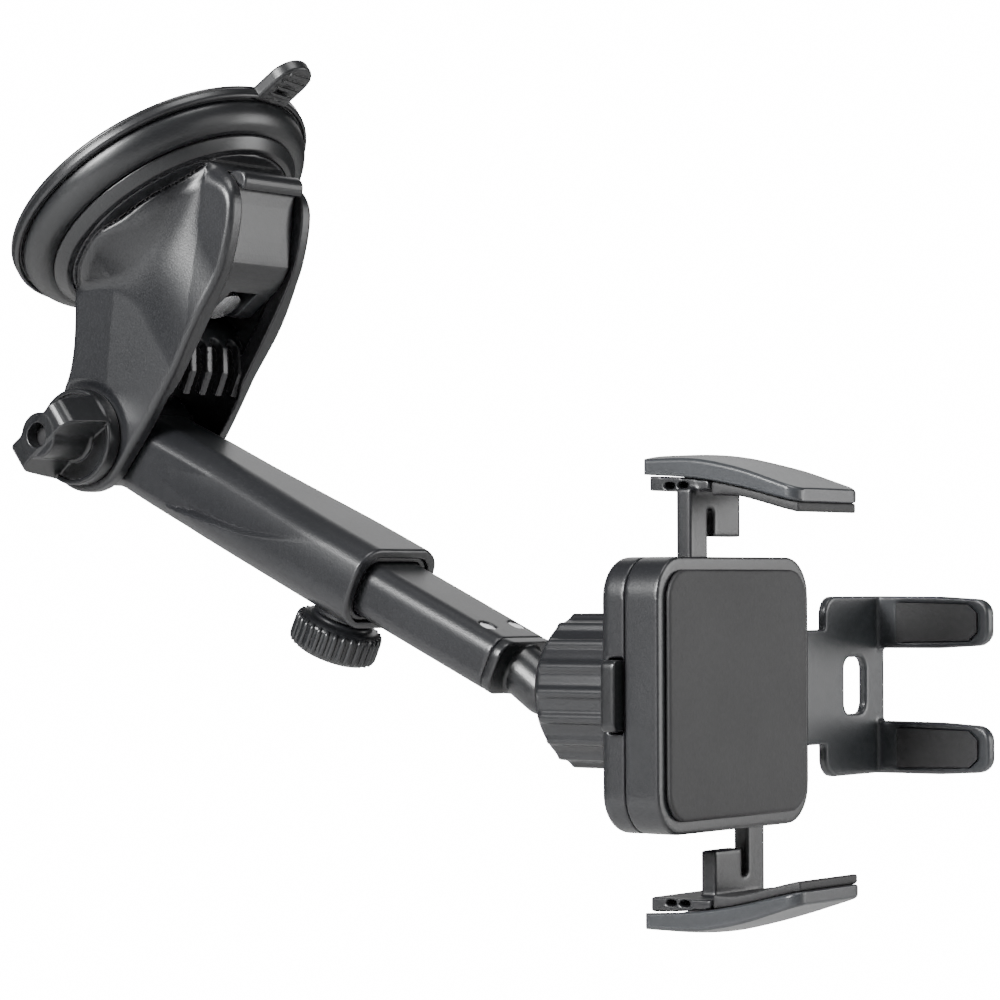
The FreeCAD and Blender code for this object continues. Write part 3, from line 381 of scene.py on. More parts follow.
def smooth_line(points, steps=6):
    """A smooth line through all the points, as a list of short straight runs."""
    p = np.array(points, float)
    p = np.vstack([2 * p[0] - p[1], p, 2 * p[-1] - p[-2]])
    line = []
    for i in range(1, len(p) - 2):
        for t in np.arange(steps) / steps:
            a = 2 * p[i]
            b = p[i + 1] - p[i - 1]
            c = 2 * p[i - 1] - 5 * p[i] + 4 * p[i + 1] - p[i + 2]
            d = 3 * p[i] - p[i - 1] - 3 * p[i + 1] + p[i + 2]
            line.append(tuple((a + b * t + c * t ** 2 + d * t ** 3) / 2))
    return line + [tuple(p[-2])]


def outline_distance(points, y, z):
    """Distance to a closed outline in a plane, negative inside it."""
    y, z = np.broadcast_arrays(y, z)
    near = np.full(y.shape, np.inf)
    inside = np.zeros(y.shape, bool)
    for (ay, az), (by, bz) in zip(points, points[1:] + points[:1]):
        ey, ez = by - ay, bz - az
        if ey == ez == 0:
            continue
        t = np.clip(((y - ay) * ey + (z - az) * ez) / (ey * ey + ez * ez), 0, 1)
        near = np.minimum(near, (y - ay - t * ey) ** 2 + (z - az - t * ez) ** 2)
        if az != bz:
            crosses = (z < max(az, bz)) & (z >= min(az, bz))
            inside ^= crosses & (y < ay + (z - az) * ey / ez)
    return np.where(inside, -1, 1) * np.sqrt(near)


# %% From a field to a mesh
def slope_of(field, p, eps=0.02):
    here = field(*p.T)
    steps = [field(*(p + eps * np.eye(3)[i]).T) - here for i in range(3)]
    return here, np.stack(steps, axis=1) / eps


def net_of(field, low, high, step):
    """Corners, outward directions and quads of the surface where the field is zero."""
    axes = [np.arange(a - step, b + 2 * step, step) for a, b in zip(low, high)]
    sizes = [len(a) for a in axes]
    value = field(axes[0][:, None, None], axes[1][None, :, None], axes[2][None, None, :])
    inside = np.broadcast_to(value < 0, sizes)
    count = np.zeros([n - 1 for n in sizes], np.int8)
    for i, j, k in product((0, 1), repeat=3):
        count += inside[i:sizes[0] - 1 + i, j:sizes[1] - 1 + j, k:sizes[2] - 1 + k]
    cells = np.argwhere((count > 0) & (count < 8))
    number = np.full(count.shape, -1)
    number[tuple(cells.T)] = np.arange(len(cells))
    start = np.stack([axes[i][cells[:, i]] + step / 2 for i in range(3)], axis=1)
    points = start.copy()
    for _ in range(4):
        here, slope = slope_of(field, points)
        steep = np.maximum((slope * slope).sum(axis=1), 0.05)
        points -= slope * (here / steep)[:, None]
        points = start + np.clip(points - start, -0.75 * step, 0.75 * step)
    slope = slope_of(field, points)[1]
    quads = []
    for axis in range(3):
        u, v = (axis + 1) % 3, (axis + 2) % 3
        one = [slice(1, -1)] * 3
        two = [slice(1, -1)] * 3
        one[axis], two[axis] = slice(0, -1), slice(1, None)
        first, second = inside[tuple(one)], inside[tuple(two)]
        for outward, mask in ((1, first & ~second), (-1, second & ~first)):
            at = np.argwhere(mask)
            at[:, [u, v]] += 1
            ring = []
            for du, dv in ((-1, -1), (0, -1), (0, 0), (-1, 0))[::outward]:
                cell = at.copy()
                cell[:, u] += du
                cell[:, v] += dv
                ring.append(number[tuple(cell.T)])
            quads.append(np.stack(ring, axis=1))
    return points, slope / np.linalg.norm(slope, axis=1)[:, None], np.vstack(quads).tolist()


def piece_from(name, place, points, quads, normals=None):
    turn, shift = place
    mesh = bpy.data.meshes.new(name)
    mesh.from_pydata((points @ turn.T + shift) * MM, [], quads)
    mesh.shade_smooth()
    if normals is not None:
        mesh.normals_split_custom_set_from_vertices((normals @ turn.T).tolist())
    piece = bpy.data.objects.new(name, mesh)
    bpy.context.collection.objects.link(piece)
    return piece


def settle(piece, node, stands_for=True):
    """Gives a piece its node's finish and body, and lets it stand for the node."""
    piece.data.materials.clear()
    piece.data.materials.append(FINISH[SLOT_OF[node]])
    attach(piece, BODY_OF[node])
    if stands_for:
        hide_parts(node)
    print(piece.name, "triangles", sum(len(f.vertices) - 2 for f in piece.data.polygons))


def moulding(node, place, field, low, high, step):
    points, normals, quads = net_of(field, low, high, step)
    settle(piece_from(node + "_moulded", place, points, quads, normals), node)


# %% Turned pieces
SHARP = math.radians(32)


def rounded(points, radius, steps=4):
    """The same outline with each corner rounded, by less where its sides are short."""
    p = [np.array(q, float) for q in points]
    line = []
    for before, here, after in zip(p[-1:] + p[:-1], p, p[1:] + p[:1]):
        a, b = before - here, after - here
        r = min(radius, np.linalg.norm(a) * 0.45, np.linalg.norm(b) * 0.45)
        a, b = here + a / np.linalg.norm(a) * r, here + b / np.linalg.norm(b) * r
        if here[0] == 0:
            line.append(tuple(here))
            continue
        for t in np.linspace(0, 1, steps + 1):
            line.append(tuple(a * (1 - t) ** 2 + here * 2 * t * (1 - t) + b * t ** 2))
    return line


def turned(outline, segments=144):
    """A closed outline in (radius, height), spun about Z."""
    angles = np.linspace(0, 2 * math.pi, segments, endpoint=False)
    points, rings = [], []
    for radius, height in outline:
        if radius < 1e-6:
            rings.append([len(points)] * segments)
            points.append((0, 0, height))
            continue
        rings.append(list(range(len(points), len(points) + segments)))
        points += [(radius * math.cos(a), radius * math.sin(a), height) for a in angles]
    quads = []
    for one, two in zip(rings, rings[1:] + rings[:1]):
        for i in range(segments):
            j = (i + 1) % segments
            face = list(dict.fromkeys((one[i], one[j], two[j], two[i])))
            if len(face) > 2:
                quads.append(face)
    return np.array(points), quads


def turned_piece(name, place, outline, segments=144):
    piece = piece_from(name, place, *turned(outline, segments))
    shape = bmesh.new()
    shape.from_mesh(piece.data)
    bmesh.ops.recalc_face_normals(shape, faces=shape.faces)
    shape.to_mesh(piece.data)
    shape.free()
    piece.data.set_sharp_from_angle(angle=SHARP)
    return piece

# %% [markdown]
# ## The suction cup
# A turned rubber cup: a thick rim bead with a deep groove behind it, and a skirt that bulges like a tyre up
# to the hard ring, which is turned too. Spinning a profile keeps grooves and beads exactly round. The pull
# tab grows out of the rim, with ridges that a finger can hold, so it is a field that starts inside the rim.

# %% Suction cup
CUP_R = 36.2
RIM_T = 3.3
BEAD = [(33.6, 0), (35.7, 0), (CUP_R, -0.5), (CUP_R, -0.95), (36.0, -1.15), (CUP_R, -1.35), (CUP_R, -2.6),
        (35.9, -3.1), (35.4, -3.2), (35.1, -2.5), (34.7, -2.4), (34.5, -3.0)]
SKIRT = smooth_line([(34.55, -3.4), (34.5, -4.6), (33.9, -6.3), (32.7, -7.9), (31.3, -8.75), (30.4, -8.9)], 5)
INSIDE = [(26.8, -8.9), (26.4, -5.2), (25.6, -4.4), (14.6, -4.4), (13.4, -8.2), (4.1, -8.2), (4.1, -5.8),
          (11.05, -5.8), (11.05, -4.2), (0, -4.2), (0, -1.25), (33.6, -1.25)]
CUP = rounded(BEAD, 0.3, 3) + SKIRT + rounded(INSIDE, 0.4, 3)[:-4]
cup = turned_piece("suction_cup_moulded", IN_CUP, CUP, segments=192)
settle(cup, "suction_cup")

# %% Pull tab
TAB_HALF = 5.5
TAB_END = CUP_R + 10.3 - TAB_HALF
TAB_TURN = math.radians(6)


def tab_field(x, y, z):
    c, s = math.cos(TAB_TURN), math.sin(TAB_TURN)
    across, along = x * c + y * s, -(y * c - x * s)
    plan = length(across, np.maximum(along - TAB_END, 0)) - TAB_HALF
    plan = np.maximum(plan, 34.4 - along)
    body = common(plan, between(z, -RIM_T, -0.3), 0.7)
    waist = length(length(across, (along - 38.0)), z + RIM_T + 3.4) - 4.2
    ridge = np.abs((along - TAB_END + 4.4) % 2.1 - 1.05) - 0.42
    ridge = np.maximum(np.maximum(ridge, np.abs(across) - 3.6), between(along, TAB_END - 5.0, TAB_END + 3.4))
    ridge = common(ridge, between(z, -RIM_T - 0.6, -RIM_T + 0.5), 0.25)
    return joined(cut(body, waist, 0.4), ridge, 0.2)


points, normals, quads = net_of(tab_field, (-11, -48, -4.4), (11, -33, 0.2), 0.22)
settle(piece_from("pull_tab", IN_CUP, points, quads, normals), "suction_cup", stands_for=False)

# %% Hard ring behind the cup
RING = [(24.2, -8.9), (29.8, -8.9), (29.9, -9.4), (27.9, -11.6), (26.6, -11.8), (26.6, -10.25),
        (24.2, -10.25)]
settle(turned_piece("cup_ring_moulded", IN_CUP, rounded(RING, 0.25, 3), segments=160), "cup_ring")

# %% [markdown]
# ## The housing
# The hard housing flows from a round foot into two flat cheeks that hold the arm's hub and hide the lever.
# Its side is one sweeping outline. A flat band follows the knob side, and past a soft crease the cheek falls
# away towards the phone, so the two faces catch different light. The phone side has a turned-in lip, which
# makes the thin cheek look solid. One field holds it all: flare, cheeks, outline, lip, channel, web, bores.

# %% Outline of the cheeks
FOOT_R = 26.5
FLOOR_H = -16.0
GAP = 12.2
EYE_R = 12.2
CHEEK_X = 15.2
EYE_ARC = np.radians(np.arange(-90, 111, 5))
EYE = [(PIVOT_V + EYE_R * math.cos(a), PIVOT_H - EYE_R * math.sin(a)) for a in EYE_ARC]
KNOB_SIDE = smooth_line([(22.5, -11.9), (24.4, -15.2), (29.7, -21.8), (34.6, -26.2), EYE[0]])
PHONE_SIDE = smooth_line([EYE[-1], (23.0, -48.6), (6.0, -42.2), (-10.0, -35.6), (-17.5, -30.8),
                          (-23.6, -24.6), (-25.3, -19.0), (-23.2, -11.9)])
CHEEK = KNOB_SIDE[:-1] + EYE + PHONE_SIDE[1:]
WEB = [(7.9, -33.0), (8.4, -38.0), (11.6, -42.6), (16.4, -45.4), (17.2, -43.4), (12.9, -40.9), (10.6, -37.4),
       (10.3, -33.6), (14.4, -15.6), (12.0, -15.6)]
BOSS_R, STEM_HOLE_R, BOLT_HOLE_R, RECESS_R = 8.0, 4.05, 3.05, 21.0
CREASE_AT = (6.5, -13.2)
CREASE_N = (-0.740, -0.673)
STRIP_RISE = 0.9
FACET_FALL = 0.10


def flare_radius(h):
    q = np.clip((30.0 + h) / 17.0, 0, 1.09)
    return np.minimum(CHEEK_X + 9.4 * q ** 2.5, FOOT_R)


def housing_field(x, v, h):
    side = outline_distance(CHEEK, v, h)
    spin = length(x, v)
    past = (v - CREASE_AT[0]) * CREASE_N[0] + (h - CREASE_AT[1]) * CREASE_N[1]
    clear = ease(length(v - PIVOT_V, h - PIVOT_H), 10.9, 13.4)
    swell = clear * np.where(past < 0, STRIP_RISE, STRIP_RISE - np.minimum(FACET_FALL * past, 2.1))
    body = joined((spin - flare_radius(h)) * 0.8, np.abs(x) - CHEEK_X, 2.5) - swell * ease(h, -11.5, -14.5)
    body = common(body, side, 1.5 + 3.0 * ease(h, -25, -14) * ease(v, 5, -5))
    body = joined(body, common(spin - FOOT_R, between(h, -12.0, -10.3), 0.3), 0.3)
    phone_side = ease(past, 6, 9) * ease(v, 20, 12)
    lip = 1.95 * phone_side * ease(side, -4.3, -3.5)
    gap = np.where(h < -33.4, 11.5, GAP)
    gap = np.minimum(gap, GAP - lip)
    body = cut(body, np.maximum(np.abs(x) - gap, h - FLOOR_H), 0.35)
    web = outline_distance(WEB, v, h)
    slot_x = np.abs((x + 8.1 + 2.7) % 5.4 - 2.7)
    slot = np.maximum(np.where(h > -37.2, length(slot_x, h + 37.2), slot_x) - 1.7, between(h, -60, -35.4))
    web = np.maximum(cut(web, np.maximum(slot, np.abs(x) - 10.5), 0.3), np.abs(x) - GAP)
    body = joined(body, web, 0.3)
    boss = common(spin - BOSS_R, between(h, -21.2, -15.5), 0.3)
    body = joined(body, boss, 0.5)
    body = cut(body, np.maximum(spin - RECESS_R, -13.0 - h))
    body = cut(body, spin - STEM_HOLE_R)
    return cut(body, length(v - PIVOT_V, h - PIVOT_H) - BOLT_HOLE_R)


moulding("base_housing", IN_CUP, housing_field, (-27, -28, -54), (27, 52, -10), 0.5)

# %% [markdown]
# ## The locking lever
# A flat cam lever: a thick hub that turns on a pin, a cam that lifts the plunger, and a handle that ends in
# a curled lip for the thumb. It is a side outline given a width, with rounded edges, so the field is short.

# %% Lock lever
PIN_H = -30.0
LEVER_HALF, FORK_HALF, PIN_HOLE_R = 10.0, 4.3, 1.55
CAM_R, CAM_LIFT, CAM_SPAN = 7.95, 2.0, math.radians(95)


def cam_point(a):
    drop = CAM_LIFT / CAM_SPAN
    reach = CAM_R - drop * a
    return reach * math.sin(a) - drop * math.cos(a), reach * math.cos(a) + drop * math.sin(a)


CAM = [cam_point(CAM_SPAN * i / 12) for i in range(13)]
HUB = [(4.6 * math.cos(a), 4.6 * math.sin(a)) for a in np.radians((-50, -70, -90))]
HANDLE = smooth_line([HUB[-1], (-8.0, -4.4), (-12.6, -3.0), (-15.2, -0.8), (-24.0, 9.1), (-25.4, 8.1),
                      (-27.2, 9.2), (-27.8, 11.0), (-26.8, 12.7), (-24.6, 13.6), (-22.4, 12.0), (-12.6, 1.2),
                      (-10.0, 0.6), (-6.2, 3.0), (-5.0, 7.6), (-3.6, 7.95)], 4)
LEVER = [(v, h + PIN_H) for v, h in CAM + HUB + HANDLE[1:-1]]


def lever_field(x, v, h):
    body = common(outline_distance(LEVER, v, h), np.abs(x) - LEVER_HALF, 0.6)
    fork = np.maximum(np.maximum(np.abs(x) - FORK_HALF, between(v, -6.2, 12)), between(h, -38, -18))
    body = cut(body, fork, 0.3)
    return cut(body, length(v, h - PIN_H) - PIN_HOLE_R)


moulding("lock_lever", IN_CUP, lever_field, (-10.2, -28.5, -36), (10.2, 8.5, -15.8), 0.32)

# %% [markdown]
# ## The pivot knob
# The knob clamps the arm. A round flange with a raised rim carries two wings for the fingers, with a round
# hub between them and a deep hole over the bolt's end, darkened at its bottom by a disc of painted shade.
# The wings taper outwards so that the knob leaves its mould, and their edges are crisp. On the other side a
# cover hides the bolt's head.

# %% Pivot knob
WING_TURN = math.radians(-37)
KNOB_IN = -15.4
FLANGE_R, HUB_R, SOCKET_R, HOLE_R = 10.7, 5.0, 4.2, 2.7
FLANGE_T, WING_H, WING_HALF = 3.7, 11.7, 9.8
FLANGE_FACE = KNOB_IN - FLANGE_T
KNOB_TIP = FLANGE_FACE - WING_H
WING_SIDE = [(FLANGE_FACE + 1, WING_HALF + 0.6), (FLANGE_FACE - 4, WING_HALF),
             (KNOB_TIP + 1.6, WING_HALF - 0.9), (KNOB_TIP, WING_HALF - 2.6)]
WING = rounded([(x, -a) for x, a in WING_SIDE] + WING_SIDE[::-1], 1.2)


def knob_field(x, a, b):
    r = length(a, b)
    flange = common(r - FLANGE_R, between(x, FLANGE_FACE, KNOB_IN), 0.5)
    dish = np.maximum(np.abs(r - 7.6) - 1.9, x - FLANGE_FACE - 0.55)
    flange = cut(flange, dish, 0.3)
    height = (FLANGE_FACE - x) / WING_H
    half = 3.35 - 0.55 * height + 0.5 * np.clip(np.abs(a) / WING_HALF, 0, 1) ** 2
    wing = common(outline_distance(WING, x, a), np.abs(b) - half, 0.4)
    hub = common(r - HUB_R, between(x, KNOB_TIP + 0.3, KNOB_IN - 1), 0.5)
    body = joined(joined(flange, wing, 0.5), hub, 0.7)
    body = cut(body, np.maximum(r - SOCKET_R, KNOB_IN - 11.9 - x))
    return cut(body, np.maximum(r - HOLE_R, x + 27.2), 0.3)


moulding("pivot_knob", row_place(WING_TURN, PIVOT), knob_field, (KNOB_TIP - 0.3, -11, -11),
         (KNOB_IN + 0.2, 11, 11), 0.26)

# %% Dark disc at the bottom of the knob's hole, painted shade that deepens the hole
SHADE_DISC = rounded([(0, 0), (2.65, 0), (2.65, 0.5), (0, 0.3)], 0.15, 2)
points, quads = turned(SHADE_DISC, 48)
shade_disc = piece_from("knob_hole_shade_disc", moved(ON_PIVOT, -27.9, 0, 0), points[:, [2, 0, 1]], quads)
settle(shade_disc, "pivot_knob", stands_for=False)
# The disc takes the dark rubber colour as painted shade for the hole's depth.
shade_disc.data.materials[0] = FINISH["pad_rubber"]

# %% Cover over the bolt's head
COVER = rounded([(0, 2.8), (5.6, 2.8), (5.6, 0), (9.4, 0), (9.4, 2.8), (8.2, 3.8), (6.6, 3.8), (6.2, 3.4),
                 (0, 3.4)], 0.4, 4)
points, quads = turned(COVER, 96)
cover = piece_from("bolt_cover_moulded", moved(ON_PIVOT, CHEEK_X, 0, 0), points[:, [2, 0, 1]], quads)
cover.data.set_sharp_from_angle(angle=SHARP)
settle(cover, "bolt_cover")

# %% [markdown]
# ## The outer tube
# The fixed half of the arm is a soft box: its top is flat, its flanks bulge below the shoulder, and towards
# the hub it narrows to pass between the cheeks. Each flank has a shallow scoop, whose lower edge is a crease
# that climbs along the tube and fades before the mouth. The bore and the liner's seat are cut last.

# %% Outer tube
TUBE_END = 81.2
SCREW_S = -float((np.array(JOINTS["lock_screw_turn"]["pos_m"]) / MM - ON_ARM[1]) @ ON_ARM[0][:, 1])
LOWER = np.array(smooth_line([(7, 10.4), (14, 10.6), (19, 11.1), (24, 12.3), (30, 13.1), (40, 13.5),
                              (60, 13.7), (TUBE_END, 13.8)])).T
UPPER = np.array(smooth_line([(7, 10.4), (18, 10.9), (27, 11.1), (36, 11.5), (46, 12.2), (56, 13.0),
                              (64, 13.6), (72, 13.8), (TUBE_END, 13.8)])).T
TALL = np.array(smooth_line([(7, 8.7), (22, 9.1), (50, 9.25), (TUBE_END, 9.35)])).T
CREASE = np.array(smooth_line([(16, -7.2), (22, -6.2), (28, -5.2), (32.6, -4.3), (38.5, -3.3), (47, -2.0),
                               (55, 0.3), (63, 3.1), (72, 6.0)])).T
TUBE_HUB_R, AXLE_HOLE_R, SCREW_BOSS_R, SCREW_HOLE_R = 10.6, 5.2, 6.6, 4.2
SEAT_DEPTH = 6.0


def soft_box(x, z, half_x, half_z, r):
    qx, qz = np.abs(x) - half_x + r, np.abs(z) - half_z + r
    return length(np.maximum(qx, 0), np.maximum(qz, 0)) + np.minimum(np.maximum(qx, qz), 0) - r


def tube_field(x, y, z):
    s = -y
    low, high = np.interp(s, *LOWER), np.interp(s, *UPPER)
    tall = np.interp(s, *TALL)
    t = (z - 0.6) / 9.3
    draft = np.where(t > 0, 2.0, 3.4) * np.abs(t) ** 2.3
    half = low + (high - low) * ease(z - np.interp(s, *CREASE), -0.1, 1.4)
    wall = 10.95 - 1.2 * ease(np.abs(z), 5.0, 9.3)
    flank = (np.abs(x) - np.maximum(half - draft, wall)) * 0.93
    body = common(flank, np.abs(z - 0.3) - tall, 4.4)
    body = common(body, between(s, 7.0, TUBE_END), 0.8)
    hub = common(length(y, z) - TUBE_HUB_R, np.abs(x) - 10.5, 0.4)
    body = joined(body, hub, 1.5)
    boss = np.maximum(length(x, s - SCREW_S) - SCREW_BOSS_R, between(z, -10.1, -8.0))
    body = joined(body, boss, 0.4)
    body = cut(body, np.maximum(soft_box(x, z - 0.2, 10.25, 6.3, 4.2), between(s, 17, 90)))
    seat = np.maximum(soft_box(x, z - 0.2, 11.4, 7.4, 5.0), between(s, TUBE_END - SEAT_DEPTH, 90))
    body = cut(body, seat, 0.3)
    body = cut(body, length(y, z) - AXLE_HOLE_R)
    return cut(body, np.maximum(length(x, s - SCREW_S) - SCREW_HOLE_R, between(z, -12, -5)))


moulding("outer_tube", ON_ARM, tube_field, (-14.2, -TUBE_END - 0.4, -10.5), (14.2, 11, 11), 0.48)

# %% [markdown]
# ## The clamp arms
# Each arm ends in a crowned cover over the rack's head, with a rubber lip below it. Its side follows two
# smooth lines, its front corners are round in plan, and it is highest along its middle. The lower cover is
# the upper one turned half a turn about the pinion.

# %% Clamp arm covers
JAW = 38.8
ARM_HALF, ARM_REACH, ARM_BACK, ARM_CORNER = 12.3, 20.7, 15.0, 3.2
JAW_TOP = smooth_line([(ARM_BACK, JAW + 7.6), (6.0, JAW + 7.6), (0.0, JAW + 7.0), (-7.5, JAW + 5.4),
                       (-14.0, JAW + 3.4), (-ARM_REACH, JAW + 1.2)], 4)
JAW_LOW = smooth_line([(-ARM_REACH, JAW - 1.5), (-14.0, JAW + 0.1), (-7.5, JAW + 1.7), (0.0, JAW + 3.1),
                       (6.0, JAW + 3.8), (ARM_BACK, JAW + 4.4)], 4)
CROWN = 1.0


def cover_field(x, y, z):
    rise = CROWN * (1 - np.clip(x / ARM_HALF, -1, 1) ** 2) * np.clip((y + ARM_REACH) / ARM_REACH, 0.2, 1)
    lift = rise * ease(z, JAW - 2, JAW + 6)
    side = outline_distance(JAW_TOP + JAW_LOW, y, z - lift)
    qx, qy = np.abs(x) - ARM_HALF + ARM_CORNER, -y - ARM_REACH + ARM_CORNER
    plan = length(np.maximum(qx, 0), np.maximum(qy, 0)) + np.minimum(np.maximum(qx, qy), 0) - ARM_CORNER
    return common(side, plan, 0.75)


def add_cover(node, sign):
    def field(x, y, z):
        return cover_field(sign * x, y, sign * z)
    low, high = sorted((sign * 37.0, sign * 47.6))
    moulding(node, IN_CRADLE, field, (-12.6, -21, low), (12.6, 15.2, high), 0.3)


add_cover("upper_arm_cap", 1)
add_cover("lower_arm_cap", -1)

# %% [markdown]
# ## The ribbed thumb screw
# The thumb screw is turned, and then ribbed all round so that fingers hold it. A rib is the same shape thirty
# times over, which is work for Geometry Nodes: points on a circle, an upright rod with a round end on each,
# and everything made real at the end.

# %% A Geometry Nodes tree for ribs in a ring
def new_tree(name, inputs):
    tree = bpy.data.node_groups.new(name, "GeometryNodeTree")
    sockets = {}
    for label, kind, value in inputs:
        socket = tree.interface.new_socket(label, in_out="INPUT", socket_type=kind)
        if value is not None:
            socket.default_value = value
        sockets[label] = socket.identifier
    tree.interface.new_socket("Geometry", in_out="OUTPUT", socket_type="NodeSocketGeometry")
    return tree, sockets, tree.nodes.new("NodeGroupInput").outputs, tree.nodes.new("NodeGroupOutput")


def close_tree(tree, geometry, feed, out):
    real = tree.nodes.new("GeometryNodeRealizeInstances")
    paint = tree.nodes.new("GeometryNodeSetMaterial")
    tree.links.new(geometry, real.inputs["Geometry"])
    tree.links.new(real.outputs["Geometry"], paint.inputs["Geometry"])
    tree.links.new(feed["Finish"], paint.inputs["Material"])
    tree.links.new(paint.outputs["Geometry"], out.inputs["Geometry"])


def rib_tree():
    tree, sockets, feed, out = new_tree("ribs_in_a_ring", [
        ("Count", "NodeSocketInt", 30), ("Ring radius", "NodeSocketFloat", 0.01),
        ("Rib radius", "NodeSocketFloat", 0.001), ("Rib length", "NodeSocketFloat", 0.005),
        ("Finish", "NodeSocketMaterial", None)])
    links = tree.links
    ring = tree.nodes.new("GeometryNodeMeshCircle")
    links.new(feed["Count"], ring.inputs["Vertices"])
    links.new(feed["Ring radius"], ring.inputs["Radius"])
    rod = tree.nodes.new("GeometryNodeMeshCylinder")
    rod.inputs["Vertices"].default_value = 12
    rod.inputs["Side Segments"].default_value = 6
    links.new(feed["Rib radius"], rod.inputs["Radius"])
    links.new(feed["Rib length"], rod.inputs["Depth"])
    place = tree.nodes.new("GeometryNodeInputPosition").outputs["Position"]
    apart = tree.nodes.new("ShaderNodeSeparateXYZ")
    links.new(place, apart.inputs["Vector"])
    share = math_node(tree, "DIVIDE", math_node(tree, "ABSOLUTE", apart.outputs["Z"]), feed["Rib length"])
    taper = math_node(tree, "MULTIPLY", math_node(tree, "POWER", share, 6.0), 34.0)
    narrow = math_node(tree, "SUBTRACT", 1.0, taper)
    shrink = tree.nodes.new("ShaderNodeCombineXYZ")
    shrink.inputs["Z"].default_value = 1.0
    links.new(narrow, shrink.inputs["X"])
    links.new(narrow, shrink.inputs["Y"])
    scaled = tree.nodes.new("ShaderNodeVectorMath")
    scaled.operation = "MULTIPLY"
    links.new(place, scaled.inputs[0])
    links.new(shrink.outputs["Vector"], scaled.inputs[1])
    soft = tree.nodes.new("GeometryNodeSetPosition")
    links.new(rod.outputs["Mesh"], soft.inputs["Geometry"])
    links.new(scaled.outputs[0], soft.inputs["Position"])
    spread = tree.nodes.new("GeometryNodeInstanceOnPoints")
    links.new(ring.outputs["Mesh"], spread.inputs["Points"])
    links.new(soft.outputs["Geometry"], spread.inputs["Instance"])
    close_tree(tree, spread.outputs["Instances"], feed, out)
    return tree, sockets


def grown(name, tree_and_sockets, values, place, axis="Z"):
    """Runs a tree, keeps its result as a plain mesh and puts it in a part's own frame."""
    tree, sockets = tree_and_sockets
    seed = bpy.data.objects.new(name, bpy.data.meshes.new(name + "_seed"))
    bpy.context.collection.objects.link(seed)
    modifier = seed.modifiers.new("grow", "NODES")
    modifier.node_group = tree
    for label, value in values.items():
        modifier[sockets[label]] = value
    graph = bpy.context.evaluated_depsgraph_get()
    mesh = bpy.data.meshes.new_from_object(seed.evaluated_get(graph))
    seed.modifiers.clear()
    turn, shift = place
    if axis == "Y":
        turn = turn @ np.array([[1, 0, 0], [0, 0, -1], [0, 1, 0]])
    if axis == "X":
        turn = turn @ np.array([[0, 0, 1], [1, 0, 0], [0, 1, 0]])
    matrix = np.eye(4)
    matrix[:3, :3], matrix[:3, 3] = turn, np.array(shift) * MM
    mesh.transform(Matrix(matrix.tolist()))
    mesh.shade_smooth()
    old, seed.data = seed.data, mesh
    bpy.data.meshes.remove(old)
    return seed


RIBS = rib_tree()

# %% Thumb screw
SCREW_R, SCREW_TOP, SCREW_LOW = 9.8, -10.4, -18.8
SCREW = [(3.0, -15.8), (3.0, SCREW_TOP), (6.4, SCREW_TOP), (6.8, SCREW_TOP - 0.8), (8.2, SCREW_TOP - 1.0),
         (9.2, SCREW_TOP - 2.0), (9.2, SCREW_LOW + 1.2), (8.0, SCREW_LOW), (6.4, SCREW_LOW),
         (6.0, SCREW_LOW + 0.5), (0, SCREW_LOW + 0.5), (0, -15.8)]
RIB_MIDDLE = (SCREW_TOP + SCREW_LOW - 0.8) / 2
ON_SCREW = moved(ON_ARM, 0, -SCREW_S, 0)
settle(turned_piece("thumb_screw_moulded", ON_SCREW, rounded(SCREW, 0.45, 3)), "thumb_screw")
ribs = grown("thumb_screw_ribs", RIBS,
             {"Count": 30, "Ring radius": (SCREW_R - 0.75) * MM, "Rib radius": 0.72 * MM,
              "Rib length": 6.2 * MM, "Finish": FINISH["knob_plastic"]}, moved(ON_SCREW, 0, 0, RIB_MIDDLE))
settle(ribs, "thumb_screw", stands_for=False)

# %% [markdown]
# ## Springs
# Three springs work unseen until a part moves: one under the plunger, one behind the release button and a
# flat spiral round the pinion. A spring follows a rule, so its wire is a spiral curve given a round section.

# %% Springs
def spring_tree():
    tree, sockets, feed, out = new_tree("wire_spring", [
        ("Turns", "NodeSocketFloat", 4.0), ("Start radius", "NodeSocketFloat", 0.006),
        ("End radius", "NodeSocketFloat", 0.006), ("Height", "NodeSocketFloat", 0.004),
        ("Wire radius", "NodeSocketFloat", 0.0005), ("Finish", "NodeSocketMaterial", None)])
    links = tree.links
    coil = tree.nodes.new("GeometryNodeCurveSpiral")
    coil.inputs["Resolution"].default_value = 40
    for label, socket in (("Turns", "Rotations"), ("Start radius", "Start Radius"),
                          ("End radius", "End Radius"), ("Height", "Height")):
        links.new(feed[label], coil.inputs[socket])
    section = tree.nodes.new("GeometryNodeCurvePrimitiveCircle")
    section.inputs["Resolution"].default_value = 10
    links.new(feed["Wire radius"], section.inputs["Radius"])
    wire = tree.nodes.new("GeometryNodeCurveToMesh")
    wire.inputs["Fill Caps"].default_value = True
    links.new(coil.outputs["Curve"], wire.inputs["Curve"])
    links.new(section.outputs["Curve"], wire.inputs["Profile Curve"])
    close_tree(tree, wire.outputs["Mesh"], feed, out)
    return tree, sockets


SPRINGS = spring_tree()
STEEL = FINISH["spring_steel"]


def add_spring(node, turns, start, end, height, wire, place, axis):
    piece = grown(node + "_wire", SPRINGS,
                  {"Turns": turns, "Start radius": start * MM, "End radius": end * MM, "Height": height * MM,
                   "Wire radius": wire * MM, "Finish": STEEL}, place, axis)
    settle(piece, node)
    return piece


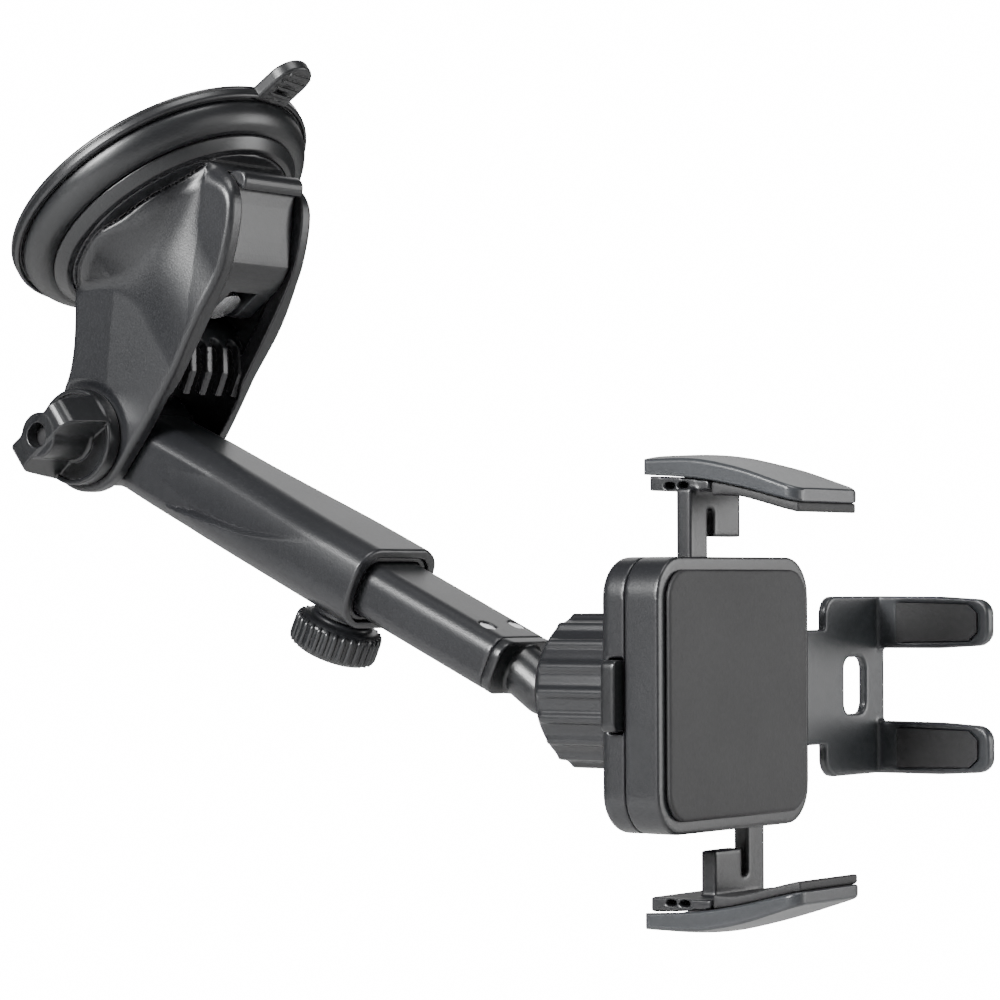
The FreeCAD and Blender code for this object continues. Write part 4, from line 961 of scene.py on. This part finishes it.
add_spring("plunger_spring", 3.5, 6.6, 6.6, 4.2, 0.65, moved(IN_CUP, 0, 0, -13.3), "Z")
BEHIND_BUTTON = moved(IN_CRADLE, -21.65, 11.2, -4.0)
button_wire = add_spring("button_spring", 7.0, 1.35, 1.35, 7.5, 0.22, BEHIND_BUTTON, "X")
add_spring("return_spring", 4.0, 3.3, 7.2, 0.0, 0.35, moved(IN_CRADLE, 0, 11.9, 0), "Y")
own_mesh(button_wire)

# %% [markdown]
# ## Soft edges on the other mouldings
# The remaining parts have the right shape in the frame, but their edges are sharp. Each is copied, merged and
# rebuilt on a fine grid of voxels, and relaxed a little, which rounds all its edges alike.

# %% Soften a moulding
def finished(piece):
    """Applies a piece's modifiers and leaves a plain mesh."""
    graph = bpy.context.evaluated_depsgraph_get()
    mesh = bpy.data.meshes.new_from_object(piece.evaluated_get(graph))
    piece.modifiers.clear()
    old, piece.data = piece.data, mesh
    bpy.data.meshes.remove(old)


def copy_of(node, name):
    mesh = bpy.data.meshes.new(name)
    shape = bmesh.new()
    shape.from_mesh(NODES[node].data)
    bmesh.ops.remove_doubles(shape, verts=shape.verts, dist=0.002 * MM)
    shape.to_mesh(mesh)
    shape.free()
    piece = bpy.data.objects.new(name, mesh)
    bpy.context.collection.objects.link(piece)
    return piece


def soften(node, voxel=0.35, relax=6, keep=0.35):
    """A soft-edged copy of a CAD part. voxel is in millimetres, keep is the share of triangles kept."""
    piece = copy_of(node, node + "_moulded")
    remesh = piece.modifiers.new("voxels", "REMESH")
    remesh.mode, remesh.voxel_size = "VOXEL", voxel * MM
    smooth = piece.modifiers.new("relax", "SMOOTH")
    smooth.factor, smooth.iterations = 0.5, relax
    thin = piece.modifiers.new("thin", "DECIMATE")
    thin.ratio = keep
    finished(piece)
    piece.data.shade_smooth()
    settle(piece, node)


for node in ("inner_tube", "ring_nut", "upper_arm_rack", "upper_arm_pad", "lower_arm_rack", "lower_arm_pad",
             "cradle_front", "cradle_back", "foot_bracket", "ball_stud", "release_button", "face_pad",
             "tube_collar"):
    soften(node)
